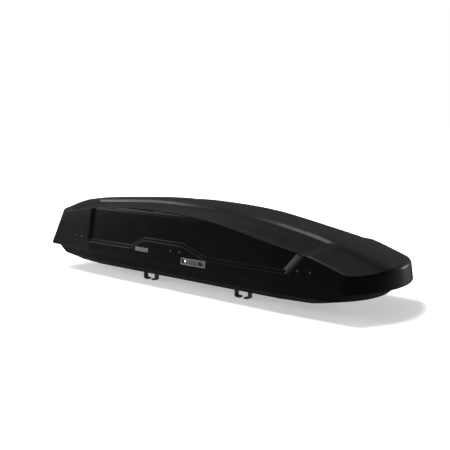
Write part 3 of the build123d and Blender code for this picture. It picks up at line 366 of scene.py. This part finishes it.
def finishes(settings):
    """One material for each slot of the record."""
    lid, tray, grip = list(settings.lid_colour), list(settings.tray_colour), list(settings.grip_colour)
    steel = list(settings.steel_colour)
    grain = settings.grain
    return {
        "lid_plastic": moulded_plastic(
            "grained lid plastic", lid, 0.22, grain, 0.008, shine=0.022, haze=0.55),
        "base_plastic": moulded_plastic("tray plastic", tray, 0.6, grain, 0.002, shine=0.02),
        "trim_rubber": rubber("rim rubber", [0.01, 0.01, 0.01], 0.7),
        "stiffener": moulded_plastic("stiffener plastic", [0.03, 0.03, 0.032], 0.55, 2 * grain, 0.001),
        "plated_steel": plated_steel("zinc plated steel", steel, 0.38, 0.0006),
        "pin_steel": plated_steel("turned steel", [0.6, 0.6, 0.6], 0.28, 0.0004, (1, 30, 30)),
        "arm_aluminium": plated_steel("drawn aluminium", [0.66, 0.67, 0.68], 0.34, 0.0006, (30, 1, 30)),
        # The second colour is painted shade for the rivets in the nose.
        "rivet_black": rivet_paint_with_nose_shade("painted rivet", [0.026, 0.026, 0.027], [0.002, 0.002, 0.002], grain),
        "grip_plastic": moulded_plastic("grip plastic", grip, 0.5, grain, 0.001),
        "lock_metal": plated_steel("lock barrel metal", [0.75, 0.75, 0.76], 0.18, 0.0004),
        "badge_plastic": moulded_plastic("badge plastic", [0.03, 0.031, 0.033], 0.28, 2 * grain, 0.001),
        "webbing": woven("webbing", list(settings.webbing_colour)),
        "claw_coat": moulded_plastic("claw coating", [0.015, 0.015, 0.016], 0.6, grain, 0.001),
    }


def keep_mesh(form, name, sharp=40):
    """Plain mesh from a bmesh, smooth up to an angle in degrees."""
    bmesh.ops.remove_doubles(form, verts=form.verts, dist=0.00001)
    bmesh.ops.recalc_face_normals(form, faces=form.faces)
    mesh = bpy.data.meshes.new(name)
    form.to_mesh(mesh)
    form.free()
    mesh.shade_smooth()
    mesh.set_sharp_from_angle(angle=math.radians(sharp))
    return mesh


def show(name, mesh, body, slot, replaced=()):
    """Turn a mesh into a piece that rides on a body and stands for CAD nodes."""
    piece = bpy.data.objects.new(name, mesh)
    bpy.context.scene.collection.objects.link(piece)
    mesh.materials.clear()
    mesh.materials.append(bpy.data.materials[FINISH_NAMES[slot]])
    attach(piece, body)
    if replaced:
        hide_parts(*replaced)
    return piece


def seed_mesh(places, edges=(), **attributes):
    """Points that a tree grows pieces on, each with its own values."""
    mesh = bpy.data.meshes.new("seed")
    mesh.from_pydata([tuple(place) for place in places], edges, [])
    for label, values in attributes.items():
        if isinstance(values[0], float):
            mesh.attributes.new(label, "FLOAT", "POINT").data.foreach_set("value", values)
        else:
            flat = [part for value in values for part in value]
            mesh.attributes.new(label, "FLOAT_VECTOR", "POINT").data.foreach_set("vector", flat)
    return mesh


def grow(seed, tree, values, sharp=40):
    """Run a tree on a seed mesh and return the result as a plain mesh."""
    holder = bpy.data.objects.new("seed", seed)
    bpy.context.scene.collection.objects.link(holder)
    modifier = holder.modifiers.new("grow", "NODES")
    modifier.node_group = tree
    for item in tree.interface.items_tree:
        if item.in_out == "INPUT" and item.name in values:
            modifier[item.identifier] = values[item.name]
    graph = bpy.context.evaluated_depsgraph_get()
    mesh = bpy.data.meshes.new_from_object(holder.evaluated_get(graph), depsgraph=graph)
    bpy.data.objects.remove(holder)
    if not mesh.polygons:
        raise RuntimeError(f"{tree.name} grew nothing")
    mesh.shade_smooth()
    mesh.set_sharp_from_angle(angle=math.radians(sharp))
    return mesh


def new_tree(name, sizes):
    """Geometry node tree with a distance input for each size, and a material input."""
    tree = bpy.data.node_groups.new(name, "GeometryNodeTree")
    tree.interface.new_socket("Geometry", in_out="INPUT", socket_type="NodeSocketGeometry")
    for label, value in sizes.items():
        socket = tree.interface.new_socket(label, in_out="INPUT", socket_type="NodeSocketFloat")
        socket.subtype = "DISTANCE"
        socket.default_value = value
    tree.interface.new_socket("Material", in_out="INPUT", socket_type="NodeSocketMaterial")
    tree.interface.new_socket("Geometry", in_out="OUTPUT", socket_type="NodeSocketGeometry")
    return tree, tree.nodes.new("NodeGroupInput").outputs


def end_tree(tree, given, shapes):
    """Join the shapes, make them real and give them the material."""
    join = tree.nodes.new("GeometryNodeJoinGeometry")
    for shape in shapes:
        tree.links.new(shape, join.inputs[0])
    real = node(tree, "GeometryNodeRealizeInstances", [("Geometry", join.outputs[0])])
    painted = node(tree, "GeometryNodeSetMaterial", [("Geometry", real), ("Material", given["Material"])])
    tree.links.new(painted, tree.nodes.new("NodeGroupOutput").inputs[0])
    return tree


def rivet_tree():
    """A domed head, a shank and a closed tail on every point, along its facing."""
    tree, given = new_tree("rivets", {"Radius": 0.0055, "Height": 0.002, "Shank": 0.0025, "Tail": 0.0015})
    facing = node(tree, "GeometryNodeInputNamedAttribute", [("Name", "facing")], data_type="FLOAT_VECTOR")
    grip = node(tree, "GeometryNodeInputNamedAttribute", [("Name", "grip")], data_type="FLOAT")
    turn = node(tree, "FunctionNodeAlignRotationToVector", [("Vector", facing)], axis="Z")
    ball = node(tree, "GeometryNodeMeshUVSphere", [("Segments", 24), ("Rings", 12), ("Radius", 1.0)])
    wide = node(tree, "ShaderNodeCombineXYZ", [
        ("X", given["Radius"]), ("Y", given["Radius"]), ("Z", given["Height"])])
    dome = node(tree, "GeometryNodeTransform", [("Geometry", ball), ("Scale", wide)])
    flange = node(tree, "GeometryNodeMeshCylinder", [
        ("Vertices", 24), ("Radius", maths(tree, "MULTIPLY", given["Radius"], 1.1)),
        ("Depth", maths(tree, "MULTIPLY", given["Height"], 0.4))])
    stub = node(tree, "GeometryNodeMeshCylinder", [
        ("Vertices", 12), ("Radius", maths(tree, "MULTIPLY", given["Radius"], 0.3)),
        ("Depth", maths(tree, "MULTIPLY", given["Height"], 2.1))])
    heads = []
    for shape in (dome, flange, stub):
        heads.append(node(tree, "GeometryNodeInstanceOnPoints", [
            ("Points", given["Geometry"]), ("Instance", shape), ("Rotation", turn)]))
    rod = node(tree, "GeometryNodeMeshCylinder", [
        ("Vertices", 16), ("Radius", given["Shank"]), ("Depth", 1.0)])
    hung = node(tree, "GeometryNodeTransform", [("Geometry", rod), ("Translation", (0, 0, -0.5))])
    stretch = node(tree, "ShaderNodeCombineXYZ", [("X", 1.0), ("Y", 1.0), ("Z", grip)])
    shanks = node(tree, "GeometryNodeInstanceOnPoints", [
        ("Points", given["Geometry"]), ("Instance", hung), ("Rotation", turn), ("Scale", stretch)])
    back = node(tree, "ShaderNodeVectorMath", [
        (0, facing), ("Scale", maths(tree, "MULTIPLY", grip, -1.0))], operation="SCALE")
    ends = node(tree, "GeometryNodeSetPosition", [("Geometry", given["Geometry"]), ("Offset", back)])
    round_tail = node(tree, "ShaderNodeCombineXYZ", [
        ("X", maths(tree, "MULTIPLY", given["Shank"], 1.5)),
        ("Y", maths(tree, "MULTIPLY", given["Shank"], 1.5)),
        ("Z", given["Tail"])])
    tail = node(tree, "GeometryNodeTransform", [("Geometry", ball), ("Scale", round_tail)])
    tails = node(tree, "GeometryNodeInstanceOnPoints", [
        ("Points", ends), ("Instance", tail), ("Rotation", turn)])
    return end_tree(tree, given, [*heads, shanks, tails])


def stitch_tree():
    """One short thread on every point, lying along its run."""
    tree, given = new_tree("stitches", {"Length": 0.003, "Thread": 0.0007})
    facing = node(tree, "GeometryNodeInputNamedAttribute", [("Name", "facing")], data_type="FLOAT_VECTOR")
    run = node(tree, "GeometryNodeInputNamedAttribute", [("Name", "run")], data_type="FLOAT_VECTOR")
    turn = node(
        tree, "FunctionNodeAxesToRotation", [("Primary Axis", facing), ("Secondary Axis", run)],
        primary_axis="Z", secondary_axis="X")
    bead = node(tree, "GeometryNodeMeshUVSphere", [("Segments", 6), ("Rings", 5), ("Radius", 0.5)])
    form = node(tree, "ShaderNodeCombineXYZ", [
        ("X", given["Length"]), ("Y", given["Thread"]), ("Z", given["Thread"])])
    thread = node(tree, "GeometryNodeTransform", [("Geometry", bead), ("Scale", form)])
    threads = node(tree, "GeometryNodeInstanceOnPoints", [
        ("Points", given["Geometry"]), ("Instance", thread), ("Rotation", turn)])
    return end_tree(tree, given, [threads])


def seal_tree():
    """A soft section with three lips, run along a closed path."""
    tree, given = new_tree("rim seal", {"Width": 0.0062, "Height": 0.010, "Lip": 0.0009, "Step": 0.006})
    path = node(tree, "GeometryNodeMeshToCurve", [("Mesh", given["Geometry"])])
    even = node(
        tree, "GeometryNodeResampleCurve", [("Curve", path), ("Length", given["Step"])], mode="LENGTH")
    upright = node(tree, "GeometryNodeSetCurveNormal", [("Curve", even)], mode="Z_UP")
    strip = node(tree, "GeometryNodeCurvePrimitiveQuadrilateral", [
        ("Width", given["Width"]), ("Height", given["Height"])])
    round_off = maths(tree, "MULTIPLY", given["Width"], 0.3)
    soft = node(
        tree, "GeometryNodeFilletCurve", [("Curve", strip), ("Count", 4), ("Radius", round_off)],
        mode="POLY")
    sections = [soft]
    for place in (-0.3, 0.0, 0.3):
        ring = node(tree, "GeometryNodeCurvePrimitiveCircle", [("Resolution", 8), ("Radius", given["Lip"])])
        spot = node(tree, "ShaderNodeCombineXYZ", [
            ("X", maths(tree, "MULTIPLY", given["Width"], place)),
            ("Y", maths(tree, "MULTIPLY", given["Height"], 0.5))])
        sections.append(node(tree, "GeometryNodeTransform", [("Geometry", ring), ("Translation", spot)]))
    swept = []
    for section in sections:
        swept.append(node(
            tree, "GeometryNodeCurveToMesh", [("Curve", upright), ("Profile Curve", section)]))
    return end_tree(tree, given, swept)


def groups_of(name, reach):
    """Vertices of a CAD node, gathered into groups that lie within a reach of each other."""
    groups = []
    for vertex in NODES[name].data.vertices:
        for group in groups:
            if (group[0] - vertex.co).length < reach:
                group.append(vertex.co.copy())
                break
        else:
            groups.append([vertex.co.copy()])
    return groups


def head_seat(group, facing, height):
    """Middle of a rivet's head where it meets the skin, and how far its shank goes in."""
    along = [point.dot(facing) for point in group]
    top = [point for point, height_here in zip(group, along) if height_here > max(along) - 0.0003]
    middle = sum(top, Vector()) / len(top)
    return middle - facing * height, max(along) - min(along) - height


def webbing_strip(form, path, x, width, thickness):
    """Flat strap with rounded edges along a path in the YZ plane, with its length and width as UV."""
    layer = form.loops.layers.uv.verify()
    half, edge = width / 2, thickness / 2
    section = (
        (-half, -edge * 0.4), (-half + edge, -edge), (-half / 3, -edge), (half / 3, -edge),
        (half - edge, -edge), (half, -edge * 0.4), (half, edge * 0.4), (half - edge, edge),
        (half / 3, edge), (-half / 3, edge), (-half + edge, edge), (-half, edge * 0.4))
    rings, travel, walked = [], [], 0.0
    for index, spot in enumerate(path):
        ahead = path[min(index + 1, len(path) - 1)]
        behind = path[max(index - 1, 0)]
        run = Vector((ahead[0] - behind[0], ahead[1] - behind[1])).normalized()
        if index:
            walked += math.dist(spot, path[index - 1])
        travel.append(walked)
        rings.append([
            form.verts.new((x + across, spot[0] - run.y * up, spot[1] + run.x * up))
            for across, up in section])
    count = len(section)
    for index in range(len(rings) - 1):
        for side in range(count):
            after = (side + 1) % count
            face = form.faces.new((
                rings[index][side], rings[index][after], rings[index + 1][after], rings[index + 1][side]))
            lengths = (travel[index], travel[index], travel[index + 1], travel[index + 1])
            spots = (section[side], section[after], section[after], section[side])
            for loop, length, spot in zip(face.loops, lengths, spots):
                loop[layer].uv = (length, spot[0])
    for ring in (rings[0], rings[-1]):
        face = form.faces.new(ring)
        for loop, spot in zip(face.loops, section):
            loop[layer].uv = (spot[1], spot[0])


def strap_height(y):
    """Height of a strap's middle over the floor at a place across the box."""
    y = abs(y)
    if y > STRAP_BEND:
        return STRAP_Z
    if y > STRAP_LIFT_Y:
        part = (STRAP_BEND - y) / (STRAP_BEND - STRAP_LIFT_Y)
        return STRAP_Z + STRAP_LIFT * part * part * (3 - 2 * part)
    part = 1 - (y / STRAP_LIFT_Y) ** 2
    return STRAP_Z + STRAP_LIFT + (STRAP_CROWN - STRAP_LIFT) * part


def stitch_rows(x, start, end, lift):
    """Places of the threads of a sewn box with a cross in it, on the strap's upper side."""
    left, right = x - STITCH_HALF, x + STITCH_HALF
    corners = [(left, start), (right, start), (right, end), (left, end)]
    runs = [(corners[k], corners[(k + 1) % 4]) for k in range(4)]
    runs += [(corners[0], corners[2]), (corners[1], corners[3])]
    places, along = [], []
    for first, last in runs:
        length = math.dist(first, last)
        steps = max(2, round(length / STITCH_PITCH))
        way = Vector((last[0] - first[0], last[1] - first[1], 0)) / length
        for step in range(steps):
            part = (step + 0.5) / steps
            spot_x = first[0] + (last[0] - first[0]) * part
            spot_y = first[1] + (last[1] - first[1]) * part
            places.append((spot_x, spot_y, strap_height(spot_y) + lift))
            along.append(way)
    return places, along


def slab(form, low, high, soften, turn=None):
    """Block between two corners with softened edges, turned about its middle if asked."""
    middle = (Vector(low) + Vector(high)) / 2
    size = Vector(high) - Vector(low)
    matrix = Matrix.Translation(middle)
    if turn:
        matrix = matrix @ turn
    made = bmesh.ops.create_cube(form, size=1.0, matrix=matrix @ Matrix.Diagonal((*size, 1)))
    edges = list({edge for vert in made["verts"] for edge in vert.link_edges})
    bmesh.ops.bevel(form, geom=edges, offset=soften, segments=3, profile=0.5, affect="EDGES")


def bolt(form, start, end, radius, sides=20):
    """Round bar between two points."""
    way = Vector(end) - Vector(start)
    turn = way.to_track_quat("Z", "Y").to_matrix().to_4x4()
    matrix = Matrix.Translation((Vector(start) + Vector(end)) / 2) @ turn
    bmesh.ops.create_cone(
        form, cap_ends=True, segments=sides, radius1=radius, radius2=radius, depth=way.length,
        matrix=matrix)


class ROOFBOX_OT_finishes(bpy.types.Operator):
    """Give every CAD piece the finish of its slot"""

    bl_idname = "roofbox.finishes"
    bl_label = "Finishes"

    def execute(self, context):
        made = finishes(context.scene.roof_box)
        for name, part in NODES.items():
            part.data.materials.clear()
            part.data.materials.append(made[SLOT_OF[name]])
        return {"FINISHED"}


class ROOFBOX_OT_rim_seal(bpy.types.Operator):
    """Run the rubber seal along the tray's rim"""

    bl_idname = "roofbox.rim_seal"
    bl_label = "Rim seal"

    def execute(self, context):
        low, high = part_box("base_rim_trim")
        top = [v.co for v in NODES["base_rim_trim"].data.vertices if v.co.z > high.z - 0.0002]
        flat = [Vector((point.x, point.y)) for point in top]
        outline = [flat[index] for index in geometry.convex_hull_2d(flat)]
        inset = context.scene.roof_box.seal_width / 2
        path = []
        for index, point in enumerate(outline):
            before, after = outline[index - 1], outline[(index + 1) % len(outline)]
            way = (point - before).normalized() + (after - point).normalized()
            inward = Vector((-way.y, way.x)).normalized()
            path.append((point.x + inward.x * inset, point.y + inward.y * inset, (low.z + high.z) / 2))
        edges = [(index, (index + 1) % len(path)) for index in range(len(path))]
        mesh = grow(seed_mesh(path, edges), seal_tree(), {
            "Width": 2 * inset,
            "Height": high.z - low.z,
            "Lip": SEAL_LIP,
            "Step": SEAL_STEP,
            "Material": bpy.data.materials[FINISH_NAMES["trim_rubber"]],
        })
        show("rim_seal", mesh, "base", "trim_rubber", ["base_rim_trim"])
        return {"FINISHED"}


class ROOFBOX_OT_rivets(bpy.types.Operator):
    """Set the blind rivets of the lid and of the floor rails"""

    bl_idname = "roofbox.rivets"
    bl_label = "Rivets"

    def execute(self, context):
        tree = rivet_tree()
        for name, body, slot, radius, height, shank in RIVETS:
            places, facings, grips = [], [], []
            for group in groups_of(name, RIVET_REACH):
                middle = sum(group, Vector()) / len(group)
                if name == "rail_rivets":
                    cad_facing = facing = Vector((0, 0, 1))
                elif abs(middle.y) < NOSE_HALF:
                    cad_facing = facing = Vector(NOSE_FACING).normalized()
                else:
                    side = math.copysign(1, middle.y)
                    cad_facing = Vector((0, side, 0))
                    facing = Vector((0, side * math.cos(LID_DRAFT), math.sin(LID_DRAFT)))
                seat, grip = head_seat(group, cad_facing, height)
                places.append(seat)
                facings.append(facing)
                grips.append(grip)
            mesh = grow(seed_mesh(places, facing=facings, grip=grips), tree, {
                "Radius": radius,
                "Height": height,
                "Shank": shank,
                "Tail": RIVET_TAIL,
                "Material": bpy.data.materials[FINISH_NAMES[slot]],
            })
            show(name.replace("_", "_blind_", 1), mesh, body, slot, [name])
        return {"FINISHED"}


def strap_webbing(x, low, high, loose):
    """Mesh of one strap, its loose end and the hem of that end."""
    form = bmesh.new()
    path = []
    for index in range(STRAP_STEPS + 1):
        y = low + (high - low) * index / STRAP_STEPS
        path.append((y, strap_height(y)))
    webbing_strip(form, path, x, STRAP_WIDTH, STRAP_THICKNESS)
    webbing_strip(form, loose, x, STRAP_WIDTH, STRAP_THICKNESS)
    hem = [(y, height + HEM_LIFT) for y, height in loose[-HEM_STEPS:]]
    webbing_strip(form, hem, x, STRAP_WIDTH, HEM_THICKNESS)
    return keep_mesh(form, "webbing", 60)


def loose_end():
    """Path of the strap's loose end, which waves over the strap behind the buckle."""
    path = []
    for index in range(LOOSE_STEPS + 1):
        part = index / LOOSE_STEPS
        y = LOOSE_START + LOOSE_LENGTH * part
        wave = math.sin(math.pi * min(1.0, 1.25 * part)) ** 2
        path.append((y, strap_height(y) + LOOSE_LIFT + LOOSE_WAVE * wave))
    return path


def strap_stitches(tree, x, low, high, loose):
    """Mesh of the sewn boxes at both ends of a strap and on its hem."""
    places, along = [], []
    for start, end, lift in (
        (low + SEWN_MARGIN, -SEWN_OUTER, SEWN_LIFT), (-SEWN_INNER, -SEWN_END, SEWN_LIFT),
        (SEWN_OUTER, high - SEWN_MARGIN, SEWN_LIFT), (SEWN_END, SEWN_INNER, SEWN_LIFT),
        (loose[-HEM_STEPS][0] + SEWN_HEM_MARGIN, loose[-1][0] - SEWN_HEM_MARGIN, SEWN_HEM_LIFT),
    ):
        found, ways = stitch_rows(x, start, end, lift)
        places += found
        along += ways
    return grow(seed_mesh(places, facing=[Vector((0, 0, 1))] * len(places), run=along), tree, {
        "Length": STITCH_PITCH * 0.72,
        "Thread": STITCH_THREAD,
        "Material": bpy.data.materials[FINISH_NAMES["webbing"]],
    })


def cam_buckle(x, floor, top):
    """Mesh of a cam buckle: a tray with two cheeks, a pin and a tilted lever with ridges."""
    half_x, half_y = (top.x - floor.x) / 2, (top.y - floor.y) / 2
    crown = STRAP_Z + STRAP_CROWN
    form = bmesh.new()
    slab(form, (x - half_x, -half_y, floor.z), (x + half_x, half_y, crown - 0.0018), 0.0009)
    for side in (-1, 1):
        edge = x + side * half_x
        inner = edge - side * BUCKLE_CHEEK
        slab(form, (min(edge, inner), -half_y * 0.8, floor.z + 0.0005),
             (max(edge, inner), half_y * 0.8, top.z - 0.0005), 0.0012)
    pin_x, pin_y, pin_z = half_x - 0.001, -0.006, top.z - 0.0028
    bolt(form, (x - pin_x, pin_y, pin_z), (x + pin_x, pin_y, pin_z), 0.0016)
    lever = half_x - 0.0045
    slab(form, (x - lever, -0.021, top.z - 0.0036), (x + lever, 0.010, top.z - 0.0014), 0.0007,
         Matrix.Rotation(BUCKLE_TILT, 4, "X"))
    for index in range(BUCKLE_RIDGES):
        ridge = -0.019 + 0.0028 * index
        bolt(form, (x - 0.010, ridge, top.z - 0.0016), (x + 0.010, ridge, top.z - 0.0016), 0.0006, 8)
    return keep_mesh(form, "buckle")


class ROOFBOX_OT_load_straps(bpy.types.Operator):
    """Weave the load straps, sew their ends and close their buckles"""

    bl_idname = "roofbox.load_straps"
    bl_label = "Load straps"

    def execute(self, context):
        tree = stitch_tree()
        for place, x in STRAP_POSITIONS.items():
            low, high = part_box(f"load_strap_{place}")
            loose = loose_end()
            show(f"load_strap_webbing_{place}", strap_webbing(x, low.y, high.y, loose), "base", "webbing",
                 [f"load_strap_{place}"])
            show(f"load_strap_stitches_{place}", strap_stitches(tree, x, low.y, high.y, loose), "base",
                 "webbing")
            floor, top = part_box(f"strap_buckle_{place}")
            show(f"strap_cam_buckle_{place}", cam_buckle(x, floor, top), "base", "grip_plastic",
                 [f"strap_buckle_{place}"])
        return {"FINISHED"}


def claw_pad(name, way):
    """Mesh of a ribbed pad that lies in one claw, whose tip points along the way."""
    low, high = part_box(name)
    tip = low.x if way > 0 else high.x
    outline = [(PAD_START, 0.0), (PAD_END, 0.0)]
    pitch = (PAD_END - PAD_START) / PAD_RIDGES
    for index in range(PAD_RIDGES):
        end = PAD_END - index * pitch
        for part, height in ((0.15, 0.55), (0.35, 1.0), (0.65, 1.0), (0.85, 0.55)):
            outline.append((end - part * pitch, PAD_THICKNESS * height))
    seat = low.z + CLAW_THICKNESS - 0.0003
    form = bmesh.new()
    front = [form.verts.new((tip + way * a, low.y + PAD_EDGE, seat + up)) for a, up in outline]
    pushed = bmesh.ops.extrude_face_region(form, geom=[form.faces.new(front)])
    moved = [item for item in pushed["geom"] if isinstance(item, bmesh.types.BMVert)]
    bmesh.ops.translate(form, verts=moved, vec=(0, high.y - low.y - 2 * PAD_EDGE, 0))
    return keep_mesh(form, "pad", 30)


class ROOFBOX_OT_claw_pads(bpy.types.Operator):
    """Line the clamp claws with ribbed rubber pads"""

    bl_idname = "roofbox.claw_pads"
    bl_label = "Claw pads"

    def execute(self, context):
        for place in ("front", "rear"):
            for side in ("left", "right"):
                for jaw, way in (("fore", 1), ("aft", -1)):
                    name = f"clamp_{place}_{side}_claw_{jaw}"
                    show(f"{name}_pad", claw_pad(name, way), BODY_OF[name], "trim_rubber")
        return {"FINISHED"}


def pale_floor():
    """Floor that keeps the shadow and fades into the backdrop far out."""
    form = bmesh.new()
    corners = ((-FLOOR_HALF, -FLOOR_HALF), (FLOOR_HALF, -FLOOR_HALF), (FLOOR_HALF, FLOOR_HALF),
               (-FLOOR_HALF, FLOOR_HALF))
    form.faces.new([form.verts.new((x, y, 0.0)) for x, y in corners])
    mesh = bpy.data.meshes.new("floor")
    form.to_mesh(mesh)
    form.free()
    material = bpy.data.materials.new("pale floor")
    tree, shader = tree_of(material)
    shader.inputs["Roughness"].default_value = 0.9
    shader.inputs["Specular IOR Level"].default_value = 0.0
    shader.inputs["Emission Color"].default_value = (1, 1, 1, 1)
    seen = seen_directly(tree)
    place = node(tree, "ShaderNodeTexCoord", out="Object")
    reach = node(tree, "ShaderNodeVectorMath", [(0, place)], out="Value", operation="LENGTH")
    level = maths(tree, "MULTIPLY", seen, remapped(tree, reach, *FLOOR_FADE, *FLOOR_GLOW))
    tree.links.new(level, shader.inputs["Emission Strength"])
    tone = mixed(tree, seen, (*FLOOR_UNSEEN, 1), (*FLOOR_SEEN, 1))
    tree.links.new(tone, shader.inputs["Base Color"])
    mesh.materials.append(material)
    floor = bpy.data.objects.new("floor", mesh)
    bpy.context.scene.collection.objects.link(floor)


def studio_world():
    """Soft light all round, and a backdrop for the camera and the reflections."""
    world = bpy.data.worlds.new("studio")
    bpy.context.scene.world = world
    world.use_nodes = True
    tree = world.node_tree
    tree.nodes.clear()
    way = node(tree, "ShaderNodeTexCoord", out="Generated")
    height = node(tree, "ShaderNodeSeparateXYZ", [("Vector", way)], out="Z")
    sky = tree.nodes.new("ShaderNodeValToRGB")
    stops = sky.color_ramp.elements
    stops[0].position, stops[1].position = SKY[0][0], SKY[1][0]
    for index, (place, level) in enumerate(SKY):
        stop = stops[index] if index < 2 else stops.new(place)
        stop.color = (level, level, level, 1)
    tree.links.new(height, sky.inputs["Fac"])
    light = node(tree, "ShaderNodeBackground", [("Color", (1, 1, 1, 1)), ("Strength", WORLD_LIGHT)])
    backdrop = node(tree, "ShaderNodeBackground", [("Color", sky.outputs["Color"]), ("Strength", 1.0)])
    mix = node(tree, "ShaderNodeMixShader", [("Fac", seen_directly(tree)), (1, light), (2, backdrop)])
    tree.links.new(mix, tree.nodes.new("ShaderNodeOutputWorld").inputs["Surface"])


def lamps():
    """Square lamps that draw the bright lines on the lid's creases."""
    for name, place, aim, size, power in LAMPS:
        data = bpy.data.lights.new(name, "AREA")
        data.shape = "SQUARE"
        data.size = size
        data.energy = power
        lamp = bpy.data.objects.new(name, data)
        lamp.location = place
        lamp.rotation_euler = (Vector(aim) - Vector(place)).to_track_quat("-Z", "Y").to_euler()
        lamp.visible_camera = False
        bpy.context.scene.collection.objects.link(lamp)


def camera():
    """Camera that sees the box as the photo does."""
    data = bpy.data.cameras.new("camera")
    data.sensor_width = CAMERA_SENSOR
    data.lens = CAMERA_LENS
    made = bpy.data.objects.new("camera", data)
    made.location = CAMERA_PLACE
    flat = math.cos(CAMERA_TILT)
    aim = Vector((flat * math.cos(CAMERA_PAN), flat * math.sin(CAMERA_PAN), -math.sin(CAMERA_TILT)))
    made.rotation_euler = aim.to_track_quat("-Z", "Y").to_euler()
    bpy.context.scene.collection.objects.link(made)
    bpy.context.scene.camera = made


class ROOFBOX_OT_stage(bpy.types.Operator):
    """Build the floor, the lights and the camera"""

    bl_idname = "roofbox.stage"
    bl_label = "Stage"

    def execute(self, context):
        pale_floor()
        studio_world()
        lamps()
        camera()
        context.scene.view_settings.view_transform = "Standard"
        return {"FINISHED"}


class ROOFBOX_PT_sidebar(bpy.types.Panel):
    """Roof box pieces and settings"""

    bl_idname = "ROOFBOX_PT_sidebar"
    bl_label = "Roof Box"
    bl_space_type = "VIEW_3D"
    bl_region_type = "UI"
    bl_category = "Roof Box"

    def draw(self, context):
        layout = self.layout
        for prop in RoofBoxSettings.__annotations__:
            layout.prop(context.scene.roof_box, prop)
        for operator in OPERATORS:
            layout.operator(operator.bl_idname)


OPERATORS = (
    ROOFBOX_OT_finishes,
    ROOFBOX_OT_rim_seal,
    ROOFBOX_OT_rivets,
    ROOFBOX_OT_load_straps,
    ROOFBOX_OT_claw_pads,
    ROOFBOX_OT_stage,
)
CLASSES = (RoofBoxSettings, *OPERATORS, ROOFBOX_PT_sidebar)


def register():
    for cls in CLASSES:
        bpy.utils.register_class(cls)
    bpy.types.Scene.roof_box = bpy.props.PointerProperty(type=RoofBoxSettings)


def unregister():
    del bpy.types.Scene.roof_box
    for cls in reversed(CLASSES):
        bpy.utils.unregister_class(cls)


def main():
    """Build the dressed roof box."""
    register()
    bpy.ops.roofbox.finishes()
    bpy.ops.roofbox.rim_seal()
    bpy.ops.roofbox.rivets()
    bpy.ops.roofbox.load_straps()
    bpy.ops.roofbox.claw_pads()
    bpy.ops.roofbox.stage()


if __name__ == "__main__":
    main()
